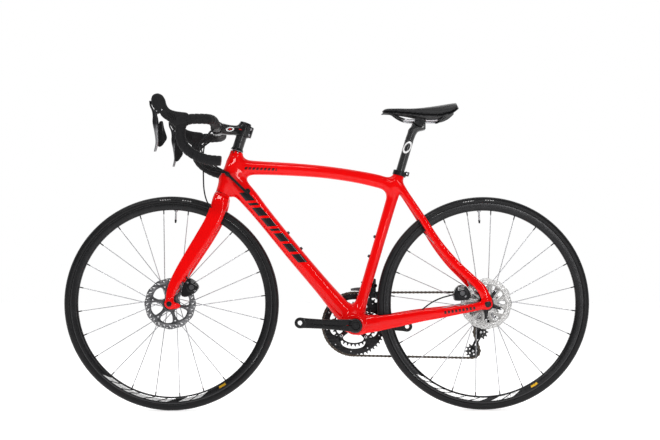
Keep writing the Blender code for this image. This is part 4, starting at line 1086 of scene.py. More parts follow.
def build_fork():
    crown = f_beam(
        [
            (*on_head(0.3625), 0.0465, 0.0465), (*on_head(0.352), 0.048, 0.052),
            (*on_head(0.34), 0.05, 0.06), (-0.8325, 0.0, 0.314, 0.05, 0.062)
        ],
        2.2
    )
    blade = folded(
        f_beam(
            [
                (-0.826, 0.02, 0.334, 0.044, 0.026), (-0.833, 0.029, 0.306, 0.05, 0.0225),
                (-0.853, 0.0338, 0.256, 0.0505, 0.02), (-0.882, 0.0382, 0.205, 0.0495, 0.018),
                (-0.914, 0.0432, 0.154, 0.0455, 0.0162), (-0.945, 0.0482, 0.104, 0.0405, 0.0148),
                (-0.968, 0.0532, 0.064, 0.033, 0.0132), (-0.981, 0.0562, 0.03, 0.0275, 0.012),
                (-0.985, 0.0568, 0.0, 0.025, 0.012)
            ],
            2.4
        )
    )
    tip = folded(f_pin(FRONT, 0.0503, 0.063, 0.0145, 0.0015))
    foot = f_plate(
        rounded(
            [
                (-0.984, 0.004), (-0.955, 0.002), (-0.949, -0.006), (-0.957, -0.0145),
                (-0.984, -0.016)
            ]
        ),
        -0.062,
        -0.052,
        0.001
    )
    room = f_pin(FRONT, -0.014, 0.014, TYRE_R + 0.0045, 0.006)
    body = f_join(0.008, f_join(0.018, crown, blade), tip, foot)
    body = f_cut(0.006, body, room)
    body = f_cut(0.0008, body, f_pin((FRONT.x, 0), -0.09, 0.09, 0.0064, 0.0003))
    low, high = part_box("fork")
    high.z = on_head(0.372).z
    margin = Vector((0.004, 0.004, 0.004))
    field_piece(
        "fork_blades", body, low - margin, high + margin, 0.0021, RED_FORK, "steering", ("fork",),
    )
    piece("steerer", rod(on_head(0.355), on_head(0.59), 0.0143, 40), ALLOY_BLACK, "steering")


# ------------------------------------------------------------------ cockpit

BAR_PATH = [
    (-0.84, 0.036, 0.551), (-0.84, 0.09, 0.551), (-0.84, 0.15, 0.551), (-0.844, 0.175, 0.551),
    (-0.854, 0.192, 0.5505), (-0.874, 0.2, 0.55), (-0.905, 0.2005, 0.548), (-0.923, 0.2005, 0.5395),
    (-0.9305, 0.2005, 0.523), (-0.931, 0.2005, 0.498), (-0.925, 0.201, 0.477),
    (-0.911, 0.2015, 0.459), (-0.888, 0.202, 0.443), (-0.856, 0.203, 0.43), (-0.812, 0.204, 0.425)
]
TAPE_START_Y = 0.0816
TAPE_LEAD = 0.015
MARK_STEP = 0.004
GATHER = Vector((-0.812, -0.0345, 0.41))
PORT = Vector((-0.748, -0.0335, 0.348))


STEM_LUG = (-0.7388, 0, 0.5389)
STEM_LUG_TURN = math.radians(18)


def stem_shade():
    """Gloss black with a plain white-edged ring on the left side."""
    shade = Shade(
        "stem_black", (0.006, 0.006, 0.0068), 0.24, Coat_Weight=0.3, Coat_Roughness=0.1,
        Specular_IOR_Level=0.2
    )
    noise = shade.noise(60.0, 4.0)
    shade.vary_roughness(noise, 0.2, 0.34)
    x = shade.dot((1, 0, 0), (-0.8, 0, 0))
    z = shade.dot((0, 0, 1), (0, 0, 0.547))
    wide = shade.leaning(x, z, -0.35)
    ring = shade.oval(wide, z, 0.0125, 0.007)
    sides = shade.over(shade.off_centre(), 0.008)
    shade.tint(both(shade, shade.between(ring, 0.66, 1.0, 0.04), sides), (0.75, 0.75, 0.75))
    shade.tint(both(shade, shade.between(ring, -1.0, 0.34, 0.04), sides), (0.6, 0.01, 0.01))
    stripe = shade.between(shade.dot(HEAD_AXIS, on_head(0.0)), 0.57, 0.5722, 0.0002)
    back = shade.between(x, 0.028, 0.036, 0.0004)
    shade.tint(both(shade, stripe, sides, back), (0.55, 0.01, 0.01))
    shade.bump(shade.noise(900.0, 2.0), 0.00003, 0.3)
    return shade


def build_stem():
    shade = stem_shade()
    clamp = f_rod(on_head(0.554), on_head(0.593), 0.0193, edge=0.0018)
    reach = f_beam(
        [
            (-0.752, 0, 0.548, 0.029, 0.031), (-0.775, 0, 0.5465, 0.029, 0.031),
            (-0.797, 0, 0.5465, 0.031, 0.031), (-0.83, 0, 0.551, 0.035, 0.039)
        ],
        3.0
    )
    lug = f_box(STEM_LUG, (0.008, 0.0092, 0.017), 0.0025, STEM_LUG_TURN)
    grip = f_pin(BAR, -0.021, 0.021, 0.0204, 0.0022)
    body = f_join(0.006, f_join(0.01, clamp, reach), lug, grip)
    slit = f_box(tuple(on_head(0.5735) + Vector((0.02, 0, 0.0))), (0.014, 0.0008, 0.03), 0.0003)
    body = f_cut(
        0.0008,
        body,
        f_rod(on_head(0.54), on_head(0.61), 0.0146, edge=0.0003),
        f_pin(BAR, -0.04, 0.04, 0.016, 0.0003),
        f_box((BAR.x - 0.03, 0, BAR.z), (0.0297, 0.05, 0.05), 0.0002),
        slit
    )
    small_field("stem_body", body, "stem", 0.0013, shade, "steering", 0.003)
    build_faceplate(shade)


def build_faceplate(shade):
    face = f_cut(
        0.001,
        f_pin(BAR, -0.021, 0.021, 0.0204, 0.0022),
        f_pin(BAR, -0.04, 0.04, 0.016, 0.0003),
        f_box((BAR.x + 0.03, 0, BAR.z), (0.0307, 0.05, 0.05), 0.0002),
        f_box((BAR.x - 0.02, 0, BAR.z), (0.003, 0.0125, 0.0055), 0.0012)
    )
    ears = [
        f_box((BAR.x - 0.0068, y, BAR.z + z), (0.0058, 0.0052, 0.0046), 0.0015)
        for y in (-0.0145, 0.0145) for z in (-0.0152, 0.0152)
    ]
    face = f_cut(0.0006, f_join(0.003, face, *ears), f_pin(BAR, -0.04, 0.04, 0.016, 0.0003))
    small_field(
        "stem_faceplate_shell", face, "stem_faceplate", 0.001, shade, "steering",
        0.003
    )


def build_stem_bolts():
    bolts = [
        bolt((BAR.x - 0.012, y, BAR.z + z), (-1, 0, 0), 0.0034, 0.003) for y in (-0.0145, 0.0145)
        for z in (-0.0152, 0.0152)
    ]
    across = Vector((math.cos(STEM_LUG_TURN), 0, -math.sin(STEM_LUG_TURN)))
    up = Vector((-across.z, 0, across.x))
    for rise in (-0.0095, 0.0095):
        spot = Vector(STEM_LUG) + up * rise + across * 0.0015
        for side in (-1, 1):
            bolts.append(bolt(spot + Y * (side * 0.0086), Y * side, 0.0036, 0.0022))
    bolts_piece("stem_bolts", bolts, "steering")


def build_top_cap():
    cap = [
        (0, 0.5935), (0.0176, 0.5935), (0.0181, 0.5941), (0.0181, 0.5962), (0.017, 0.598),
        (0.0085, 0.5984), (0.008, 0.597), (0, 0.597)
    ]
    piece(
        "top_cap", solid_turn(cap, HEAD_FOOT, HEAD_AXIS, 48), ALLOY_BLACK, "steering",
        ("stem_top_cap",), angle=35
    )
    bolts_piece("top_cap_bolt", bolt(on_head(0.5969), HEAD_AXIS, 0.0045, 0.0016), "steering")


def build_spacers():
    rings = []
    for a, b in ((0.5144, 0.5192), (0.5195, 0.5343), (0.5346, 0.5444), (0.5447, 0.5536)):
        rings.append(
            lathe(
                [
                    (0.0146, a), (0.0164, a), (0.0168, a + 0.0004), (0.0168, b - 0.0004),
                    (0.0164, b), (0.0146, b)
                ],
                HEAD_FOOT,
                HEAD_AXIS,
                56
            )
        )
    weave = carbon("spacer_carbon", HEAD_AXIS, on_head(0.53))
    piece(
        "headset_spacer_rings", rings, weave, "steering", ("headset_spacers",),
        angle=35
    )


def build_headset_cover():
    cover = [
        (0.0146, 0.5062), (0.0196, 0.5062), (0.02, 0.5066), (0.0198, 0.5082), (0.0189, 0.5105),
        (0.0174, 0.5136), (0.0168, 0.514), (0.0146, 0.514)
    ]
    piece(
        "headset_cone", lathe(cover, HEAD_FOOT, HEAD_AXIS, 56), BLACK, "steering",
        ("headset_cover",), angle=35
    )
    light = lathe(
        [
            (0.015, 0.5053), (0.0196, 0.5053), (0.0199, 0.5056), (0.0199, 0.506), (0.0196, 0.5062),
            (0.015, 0.5062)
        ],
        HEAD_FOOT,
        HEAD_AXIS,
        56
    )
    piece("headset_ring", light, SILVER, "steering", angle=35)


def build_bar():
    half = [np.array(p) for p in BAR_PATH]
    other = [np.array((x, -y, z)) for x, y, z in BAR_PATH]
    whole = other[::-1] + [np.array((-0.84, 0.0, 0.551))] + half
    path, _ = even(smooth_path(whole, 500), 0.003)

    def radius(i, _):
        y = abs(path[i][1])
        return 0.0159 - 0.0044 * float(np.clip((y - 0.034) / 0.034, 0, 1) ** 0.8)

    shade = anodised("bar_black", (0.016, 0.016, 0.017), 0.36, 0.6)
    y = shade.off_centre()
    marks = shade.over(shade.wave(y, 2 * math.pi / MARK_STEP), 0.8)
    shade.tint(both(shade, marks, shade.between(y, 0.0225, 0.033)), (0.45, 0.45, 0.45), 0.8)
    piece(
        "bar_tube", sweep(path, radius, 32, hint=(0, 0, 1)), shade, "steering", ("handlebar",),
    )
    start = next(i for i, p in enumerate(half) if p[1] > TAPE_START_Y)
    tail = [np.array((-0.84, TAPE_START_Y, 0.551)), *half[start:]]
    tape_path, run = even(smooth_path(tail, 400), 0.0011)
    fade = np.clip(np.minimum(run / 0.003, (run[-1] - run) / 0.002), 0, 1)
    for name, side in SIDES:
        points = tape_path * np.array((1, side, 1))

        def wrapped(i, angle):
            turn = (run[i] / TAPE_LEAD + side * angle / (2 * math.pi)) % 1.0
            rise = 0.0011 * turn + 0.0005 * math.sin(math.pi * turn) - (
                0.0003 if turn < 0.06 else 0.0
            )
            return 0.0137 + rise * fade[i] + 0.0004 * fade[i]

        tape = sweep(points, wrapped, 44, hint=(0, 0, 1))
        piece(
            f"wrapped_tape_{name}", tape, RUBBER, "steering", (f"bar_tape_{name}",),
            angle=60
        )
        band = []
        for s, r in ((0.0, 0.014), (0.001, 0.0146), (0.011, 0.0147), (0.012, 0.0141)):
            band.append((r, s))
        band += [(0.0118, 0.012), (0.0118, 0.0)]
        piece(
            f"tape_finish_{name}",
            lathe(band, (-0.84, side * (TAPE_START_Y - 0.006), 0.551), Y * side, 40),
            BLACK,
            "steering",
            angle=40
        )
        end, before = Vector(points[-1]), Vector(points[-4])
        way = (end - before).normalized()
        plug = [
            (0, 0.0018), (0.0085, 0.0017), (0.01, 0.0012), (0.0128, 0.0014), (0.0142, 0.0006),
            (0.0146, -0.0006), (0.0142, -0.003), (0, -0.003)
        ]
        piece(
            f"bar_plug_{name}", solid_turn(plug, end - way * 0.0006, way, 40), SATIN_BLACK,
            "steering", angle=40
        )


def hood_shade():
    shade = rubber("hood_rubber_ribbed", (0.006, 0.006, 0.0068), 1100.0, 0.0001)
    along = shade.dot(Vector((-0.86, 0, 0.51)).normalized(), (-0.95, 0, 0.55))
    ribs = shade.wave(along, 2 * math.pi / 0.003)
    low = shade.between(along, -0.012, 0.026, 0.003)
    shade.bump(both(shade, ribs, low), 0.0004, 0.7)
    return shade


HOOD_OUTLINE = [
    (-0.908, 0.5655), (-0.926, 0.569), (-0.944, 0.5712), (-0.962, 0.5765), (-0.9725, 0.59),
    (-0.976, 0.606), (-0.983, 0.6185), (-0.9975, 0.624), (-1.012, 0.6195), (-1.0172, 0.608),
    (-1.0165, 0.593), (-1.0095, 0.58), (-0.999, 0.569), (-0.987, 0.558), (-0.9717, 0.5468),
    (-0.956, 0.5335), (-0.944, 0.5235), (-0.93, 0.525), (-0.912, 0.542)
]

PADDLE_OUTLINE = [
    (-0.996, 0.544), (-0.985, 0.546), (-0.9815, 0.525), (-0.9725, 0.498), (-0.974, 0.49),
    (-0.987, 0.4715), (-0.995, 0.468), (-1.0, 0.47), (-1.0015, 0.51)
]


def lever_shade():
    grey = metal("lever_grey", (0.3, 0.3, 0.31), 0.36)
    height = grey.dot((0, 0, 1), (0, 0, 0.5))
    grey.tint(grey.ramp(height, 0.012, 0.034), (0.03, 0.03, 0.032))
    return grey


def build_hoods():
    rub = hood_shade()
    margin = Vector((0.012, 0.006, 0.014))
    for name, side in SIDES:
        y = HOOD_Y * side
        wide = f_plate(rounded(HOOD_OUTLINE, 4, 0.35), y - 0.0155, y + 0.0155, 0.012)
        horn = f_ball((-0.995, y, 0.599), (-0.9985, y, 0.6085), 0.014, 0.0128)
        wrap = f_ball((-0.918, y, 0.549), (-0.94, y, 0.545), 0.0165, 0.0172)
        waist = f_box((-0.96, y, 0.556), (0.024, 0.016, 0.0105), 0.01, math.radians(24))
        body = f_join(0.007, wide, horn, wrap, waist)
        low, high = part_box(f"hood_{name}")
        room = f_box((-0.998, y, 0.56), (0.009, 0.0092, 0.0135), 0.001)
        body = f_cut(0.0012, body, room)
        for dx in (-0.006, 0.0, 0.006):
            for edge_side in (-1, 1):
                groove = f_ball(
                    (-0.957 + dx, y + edge_side * 0.0165, 0.57),
                    (-0.949 + dx, y + edge_side * 0.017, 0.545), 0.0012
                )
                body = f_cut(0.0012, body, groove)
        field_piece(
            f"hood_grip_{name}", body, low - margin, high + margin, 0.0013, rub, "steering",
            (f"hood_{name}",)
        )
        pin = Vector((-0.984, y + side * 0.0158, 0.5735))
        piece(
            f"hood_pin_{name}",
            rod(pin - Y * side * 0.002, pin + Y * side * 0.0012, 0.002, 16, dome=0.0006),
            BOLT_STEEL,
            "steering"
        )


def build_brake_levers():
    grey = lever_shade()
    for name, side in SIDES:
        y = HOOD_Y * side
        blade = f_beam(
            [
                (-1.0205, y, 0.602, 0.0052, 0.012), (-1.0182, y, 0.587, 0.006, 0.0155),
                (-1.011, y, 0.573, 0.0085, 0.016), (-1.006, y, 0.558, 0.014, 0.0158),
                (-1.0045, y, 0.54, 0.018, 0.015), (-1.002, y, 0.51, 0.012, 0.0155),
                (-1.0, y, 0.48, 0.0092, 0.014), (-1.006, y, 0.453, 0.007, 0.009)
            ],
            2.8
        )
        boss = f_pin((-1.0, 0.572), y - 0.0078, y + 0.0078, 0.0082, 0.0012)
        lever = f_join(0.004, blade, boss)
        lever = f_cut(
            0.0016,
            lever,
            f_beam(
                [
                    (-1.017, y - side * 0.0078, 0.545, 0.008, 0.004),
                    (-1.013, y - side * 0.0078, 0.51, 0.007, 0.004),
                    (-1.01, y - side * 0.007, 0.48, 0.006, 0.003)
                ],
                2.0
            )
        )
        node = f"brake_lever_{name}"
        small_field(f"brake_blade_{name}", lever, node, 0.0011, grey, node, 0.003)
        piece(
            f"lever_pin_{name}",
            rod((-1.0, y - 0.0084, 0.572), (-1.0, y + 0.0084, 0.572), 0.0024, 16, dome=0.0004),
            BOLT_STEEL,
            f"brake_lever_{name}"
        )


def build_shift_paddles():
    for name, side in SIDES:
        inner = side * (HOOD_Y - 0.0145)
        paddle = f_plate(rounded(PADDLE_OUTLINE, 4, 0.3), inner - 0.0021, inner + 0.0021, 0.0012)
        rib = f_ball((-0.989, inner, 0.54), (-0.985, inner, 0.485), 0.0034, 0.0024)
        field = f_join(0.002, paddle, rib)
        small_field(
            f"shift_blade_{name}", field, f"shift_paddle_{name}", 0.0009, SATIN_BLACK,
            f"shift_paddle_{name}", 0.007
        )


def hose(name, path, radius, blended=True, body="steering"):
    points, _ = even(smooth_path(path, 160), 0.003)
    mesh = sweep(points, radius, 14)
    if not blended:
        return piece(name, mesh, RUBBER, body)
    joined = bpy.data.objects.new(name, mesh)
    bpy.context.scene.collection.objects.link(joined)
    mesh.materials.append(RUBBER.material)
    mesh.polygons.foreach_set("use_smooth", [True] * len(mesh.polygons))
    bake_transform(joined)
    return joined


def build_cables():
    run = GATHER - PORT
    along = run.normalized()
    sleeve_path, _ = even(
        smooth_path([PORT - along * 0.004, (GATHER + PORT) / 2 - Y * 0.004, GATHER], 60), 0.001
    )
    sleeve = sweep(sleeve_path, lambda i, t: 0.0042 + 0.0004 * math.sin(i * 0.9 + t), 20)
    piece("cable_sleeve", sleeve, RUBBER, "frame", ("control_cables",))
    gather = np.array(GATHER)
    loops = {
        "hose_left_shift": [
            (-0.843, -0.078, 0.5385), (-0.858, -0.06, 0.53), (-0.885, -0.056, 0.5),
            (-0.88, -0.046, 0.46), (-0.845, -0.037, 0.43), gather + (0, -0.0012, 0.0016)
        ],
        "hose_left_brake": [
            (-0.846, -0.082, 0.536), (-0.864, -0.066, 0.522), (-0.893, -0.06, 0.49),
            (-0.884, -0.05, 0.452), (-0.847, -0.04, 0.425), gather + (0, -0.0016, -0.002)
        ],
        "hose_right_shift": [
            (-0.843, 0.078, 0.5385), (-0.858, 0.06, 0.53), (-0.895, 0.04, 0.5),
            (-0.895, 0.0, 0.465), (-0.86, -0.028, 0.426), gather + (0, 0.0016, 0.0012)
        ],
        "hose_right_brake": [
            (-0.846, 0.082, 0.536), (-0.868, 0.062, 0.52), (-0.902, 0.04, 0.486),
            (-0.902, 0.002, 0.452), (-0.862, -0.026, 0.418), gather + (0, 0.0012, -0.002)
        ]
    }
    for name, path in loops.items():
        hose(name, path, 0.0024)
    front = [
        (-0.846, -0.08, 0.538), (-0.862, -0.065, 0.526), (-0.877, -0.062, 0.48),
        (-0.879, -0.058, 0.4), (-0.876, -0.054, 0.345), (-0.866, -0.044, 0.312),
        (-0.848, -0.032, 0.292)
    ]
    hose("hose_front_brake", front, 0.0022, False)
    clip = lathe(
        [
            (0.0, -0.006), (0.0062, -0.006), (0.0068, -0.005), (0.0068, 0.005), (0.0062, 0.006),
            (0.0, 0.006)
        ],
        GATHER - along * 0.008,
        along,
        20,
        closed=False
    )
    piece("cable_clip", clip, SATIN_BLACK, "frame", angle=40)
    rear = [
        (-0.205, -0.05, -0.022), (-0.17, -0.052, 0.004), (-0.14, -0.052, 0.018),
        (-0.112, -0.052, 0.026), (-0.092, -0.052, 0.032)
    ]
    hose("hose_rear_caliper", rear, 0.0022, False, "frame")
    low = [
        (-0.958, -0.046, 0.092), (-0.95, -0.043, 0.094), (-0.938, -0.04, 0.088),
        (-0.93, -0.04, 0.076)
    ]
    hose("hose_front_caliper", low, 0.0022, False)


# ------------------------------------------------------------------ seat

SADDLE = [
    (-0.324, 0.608, 0.01, 0.002), (-0.312, 0.615, 0.0175, 0.006), (-0.28, 0.617, 0.0215, 0.01),
    (-0.24, 0.6175, 0.027, 0.015), (-0.2, 0.6195, 0.041, 0.024), (-0.16, 0.624, 0.06, 0.033),
    (-0.13, 0.6285, 0.069, 0.036), (-0.105, 0.632, 0.07, 0.03), (-0.086, 0.635, 0.06, 0.018)
]
SWELL_CAP = 0.0012


def post_shade():
    shade = carbon("post_carbon", SEAT_AXIS, on_seat(0.5))
    up = shade.dot(SEAT_AXIS, on_seat(0.5835))
    ahead = shade.dot(Vector((-SEAT_AXIS.z, 0, SEAT_AXIS.x)), on_seat(0.5835))
    size = shade.oval(shade.leaning(ahead, up, 0.16), up, 0.0115, 0.0205)
    left = shade.math("LESS_THAN", shade.dot((0, 1, 0)), -0.002)
    shade.tint(both(shade, shade.between(size, 0.68, 1.0, 0.03), left), (0.8, 0.8, 0.8))
    return shade


def build_post():
    bend = [
        tuple(on_seat(0.612)), (-0.225, 0.0, 0.5435), (-0.214, 0.0, 0.556), (-0.202, 0.0, 0.559)
    ]
    tube = f_rod(on_seat(0.375), on_seat(0.606), 0.0135, edge=0.0006)
    for a, b in zip(bend, bend[1:]):
        tube = f_join(0.004, tube, f_ball(a, b, 0.0134))
    head = f_box((-0.205, 0, 0.56), (0.0205, 0.015, 0.012), 0.004)
    tube = f_cut(0.001, f_join(0.008, tube, head), f_pin(TILT, -0.05, 0.05, 0.0184, 0.0003))
    small_field(
        "post_tube", tube, "seatpost", 0.0015, post_shade(), "seatpost", 0.003
    )


def build_collar():
    ring = f_rod(on_seat(0.491), on_seat(0.506), 0.0213, edge=0.0014)
    lug_place = on_seat(0.4985) + Vector((0.0235, 0, -0.0015))
    lug = f_box(tuple(lug_place), (0.0068, 0.0078, 0.0066), 0.0022, math.radians(15))
    body = f_join(0.004, ring, lug)
    body = f_cut(
        0.0006,
        body,
        f_rod(on_seat(0.48), on_seat(0.52), 0.0139, edge=0.0003),
        f_box(tuple(lug_place), (0.012, 0.0007, 0.02), 0.0002)
    )
    small_field(
        "seat_collar", body, "seat_clamp", 0.001, ALLOY_BLACK, "frame", 0.003
    )
    bolts_piece(
        "seat_collar_bolt",
        [
            bolt(lug_place - Y * 0.0076, -Y, 0.0038, 0.0026),
            bolt(lug_place + Y * 0.0076, Y, 0.0038, 0.0026)
        ],
        "frame"
    )


def build_cradle():
    """The cradle and cap that hold the saddle's rails and tilt on the post."""
    grooves = [
        f_rod((-0.26, y, TILT.z), (-0.15, y, TILT.z), 0.0038, edge=0.0002) for y in (-0.022, 0.022)
    ]
    cradle = f_pin(TILT, -0.0284, 0.0284, 0.0179, 0.0012)
    cradle = f_cut(
        0.0008, cradle, f_box((TILT.x, 0, TILT.z + 0.0297), (0.05, 0.05, 0.03), 0.0002), *grooves
    )
    small_field(
        "saddle_cradle_body", cradle, "saddle_cradle", 0.0011, ALLOY_BLACK, "saddle",
        0.003
    )
    cap = f_box((-0.203, 0, TILT.z + 0.0039), (0.017, 0.0284, 0.0036), 0.0016)
    cap = f_cut(0.0008, cap, *grooves)
    small_field(
        "saddle_cap_body", cap, "saddle_clamp_cap", 0.001, ALLOY_BLACK, "saddle",
        0.003
    )
    heads = [bolt((x, 0, TILT.z + 0.0072), (0, 0, 1), 0.0042, 0.003) for x in (-0.2135, -0.1925)]
    bolts_piece("saddle_cap_bolts", heads, "saddle")


def saddle_row(x):
    """(top, half width, drop) of the saddle at a place along it."""
    rows = np.array(SADDLE)
    curve = np.array(smooth_path(rows, 200))
    order = np.argsort(curve[:, 0])
    return [float(np.interp(x, curve[order, 0], curve[order, k])) for k in (1, 2, 3)]


def saddle_skin(offset_top, thickness, inset, relief, steps=90, around=44):
    """A closed padded form: one loop of points round each cross-section."""
    first, last = SADDLE[0][0] + 0.0004, SADDLE[-1][0] - 0.0004
    verts, faces = [], []
    for i in range(steps + 1):
        u = 0.5 - 0.5 * math.cos(math.pi * i / steps)
        x = first + (last - first) * u
        top, half, drop = saddle_row(x)
        nose = min(1.0, (x - first) / 0.014)
        tail = min(1.0, (last - x) / 0.01)
        half = max(0.0008, (half - inset) * math.sqrt(max(0.0, 1 - (1 - nose) ** 2)))
        thick = thickness * max(
            0.1, math.sqrt(max(0.0, 1 - (1 - nose) ** 2)) * math.sqrt(max(0.0, 1 - (1 - tail) ** 2))
        )
        channel = relief * math.exp(-(((x + 0.185) / 0.06) ** 4))
        for k in range(around):
            t = 2 * math.pi * k / around
            s = math.copysign(abs(math.cos(t)) ** 0.75, math.cos(t))
            lift = math.copysign(abs(math.sin(t)) ** 0.65, math.sin(t))
            y = s * half
            fall = drop * abs(s) ** 2.1 + channel * math.exp(-((y / 0.0085) ** 2)) * (
                1 if lift > 0 else 0
            )
            mid = top - offset_top - thickness / 2 - fall
            verts.append((x, y, mid + lift * thick / 2))
    for i in range(steps):
        for k in range(around):
            n = (k + 1) % around
            faces.append(
                (i * around + k, i * around + n, (i + 1) * around + n, (i + 1) * around + k)
            )
    faces.append(tuple(range(around))[::-1])
    faces.append(tuple(steps * around + k for k in range(around)))
    return outward(mesh_from(verts, faces))


def swollen(mesh):
    """The pad after a short cloth simulation with a little pressure, its movement capped."""
    obj = bpy.data.objects.new("pad_work", mesh)
    bpy.context.scene.collection.objects.link(obj)
    bpy.context.view_layer.objects.active = obj
    obj.select_set(True)
    step = obj.modifiers.new("remesh", "REMESH")
    step.mode = "VOXEL"
    step.voxel_size = 0.0036
    bpy.ops.object.modifier_apply(modifier=step.name)
    rest = np.array([v.co for v in obj.data.vertices])
    held = obj.vertex_groups.new(name="held")
    for i, (x, y, z) in enumerate(rest):
        top, half, drop = saddle_row(x)
        below = top - 0.005 - drop * min(1.0, abs(y) / max(half, 0.001)) ** 2.1
        if z < below:
            held.add([i], 1.0, "ADD")
    cloth = obj.modifiers.new("cloth", "CLOTH")
    cloth.settings.quality = 4
    cloth.settings.mass = 0.3
    cloth.settings.tension_stiffness = 18
    cloth.settings.compression_stiffness = 14
    cloth.settings.shear_stiffness = 8
    cloth.settings.bending_stiffness = 1.2
    cloth.settings.use_pressure = True
    cloth.settings.uniform_pressure_force = 4.0
    cloth.settings.vertex_group_mass = "held"
    cloth.settings.effector_weights.gravity = 0.0
    cloth.collision_settings.use_collision = False
    cloth.point_cache.frame_start, cloth.point_cache.frame_end = 1, 20
    for number in range(1, 21):
        bpy.context.scene.frame_set(number)
    graph = bpy.context.evaluated_depsgraph_get()
    moved_points = np.array([v.co for v in obj.evaluated_get(graph).data.vertices])
    obj.modifiers.remove(cloth)
    shift = moved_points - rest
    size = np.linalg.norm(shift, axis=1)[:, None]
    shift *= np.minimum(1.0, SWELL_CAP / np.maximum(size, 1e-9))
    obj.data.vertices.foreach_set("co", (rest + shift).astype(np.float32).ravel())
    smooth = obj.modifiers.new("smooth", "SMOOTH")
    smooth.factor = 0.5
    smooth.iterations = 4
    bpy.ops.object.modifier_apply(modifier=smooth.name)
    finer = obj.modifiers.new("finer", "SUBSURF")
    finer.levels = 1
    finer.render_levels = 1
    bpy.ops.object.modifier_apply(modifier=finer.name)
    bpy.context.scene.frame_set(1)
    done = obj.data.copy()
    bpy.data.objects.remove(obj)
    return done


def build_saddle():
    build_seams(build_pad())
    base = saddle_skin(0.0086, 0.0025, 0.0022, 0.0)
    shell = Shade("saddle_base_plastic", (0.016, 0.016, 0.017), 0.34)
    shell.vary_roughness(shell.noise(120.0, 4.0), 0.28, 0.48)
    shell.bump(shell.voronoi(600.0), 0.0001, 0.4)
    piece("saddle_base", base, shell, "saddle", ("saddle_shell",))
    build_rails()


def build_pad():
    pad = saddle_skin(0.0004, 0.0072, 0.0, 0.0022)
    pad = swollen(pad)
    cover = Shade(
        "saddle_cover_skin", (0.0055, 0.0055, 0.0065), 0.46, Coat_Weight=0.12, Coat_Roughness=0.15,
        Specular_IOR_Level=0.16
    )
    grain = cover.voronoi(1400.0)
    wear = cover.noise(28.0, 4.0)
    cover.tint(cover.ramp(wear, 0.45, 0.8), (0.009, 0.009, 0.01), 0.5)
    cover.vary_roughness(wear, 0.4, 0.56)
    cover.bump(grain, 0.00008, 0.45)
    cover.bump(cover.noise(80.0, 3.0), 0.0002, 0.25)
    piece("saddle_pad", pad, cover, "saddle", ("saddle_cover",))
    return pad


def build_seams(pad):
    """A line of stitching along each side of the pad's top."""
    tree = BVHTree.FromPolygons(
        [v.co[:] for v in pad.vertices], [tuple(p.vertices) for p in pad.polygons]
    )
    seams = []
    for share in (-0.62, 0.62):
        line = []
        for x in np.linspace(-0.306, -0.096, 80):
            _, half, _ = saddle_row(x)
            hit = tree.ray_cast(Vector((x, share * half, 0.7)), Vector((0, 0, -1)))[0]
            if hit:
                line.append(hit)
        seams.append(sweep(line, 0.0007, 8, hint=(0, 1, 0)))
    piece("saddle_seams", seams, SATIN_BLACK, "saddle")


def build_rails():
    half_path = [
        (-0.132, 0.04, 0.586), (-0.142, 0.035, 0.578), (-0.16, 0.024, 0.576),
        (-0.168, 0.022, 0.576), (-0.2, 0.022, 0.576), (-0.238, 0.022, 0.576),
        (-0.248, 0.0215, 0.5775), (-0.27, 0.016, 0.586), (-0.29, 0.011, 0.599),
        (-0.295, 0.004, 0.601)
    ]
    whole = half_path + [(x, -y, z) for x, y, z in half_path[::-1]]
    path, _ = even(smooth_path(whole, 400), 0.0022)
    rail = metal("rail_steel", (0.52, 0.52, 0.54), 0.3)
    x = rail.dot((1, 0, 0))
    ends = either(rail, rail.between(x, -0.4, -0.252, 0.002), rail.between(x, -0.15, -0.05, 0.002))
    rail.tint(ends, (0.02, 0.02, 0.021))
    piece(
        "saddle_rail_pair", sweep(path, 0.0034, 18, hint=(0, 0, 1)), rail, "saddle",
        ("saddle_rails",)
    )
    sockets = []
    for side in (-1, 1):
        sockets.append(
            f_ball((-0.131, side * 0.0405, 0.587), (-0.118, side * 0.045, 0.598), 0.0052, 0.0075)
        )
    nose = f_ball((-0.292, 0.0, 0.6), (-0.298, 0.0, 0.6035), 0.006, 0.0065)
    blocks = f_join(0.001, *sockets, nose)
    field_piece(
        "saddle_rail_sockets", blocks, (-0.312, -0.06, 0.575), (-0.1, 0.06, 0.615), 0.0012,
        SATIN_BLACK, "saddle"
    )


def build_bearings():
    for name in ("lower", "upper"):
        slots = frame["nodes"][f"headset_bearing_{name}"].data.materials
        slots.clear()
        slots.append(BRIGHT.material)


# ------------------------------------------------------------------ floor, light and camera

GROUND = CAD_BOX[0].z
FLOOR_HALF = 14.0
SOFTBOXES = (  # place, (width, height), watts
    ((-1.5, -2.5, 2.5), (2.6, 0.3), 46.0), ((0.8, -2.9, 1.0), (0.22, 2.2), 22.0),
    ((-0.5, 2.6, 2.4), (2.4, 1.4), 16.0), ((-0.5, -0.1, 3.0), (2.2, 0.7), 10.0)
)
LIGHT_AIM = Vector((-0.5, 0.0, 0.15))
CAMERA_PLACE = (-0.5499, -3.149, 0.0779)
CAMERA_YAW = math.radians(-1.163)
CAMERA_LENS_MM = 54.37
CAMERA_SHIFT_UP = 0.089


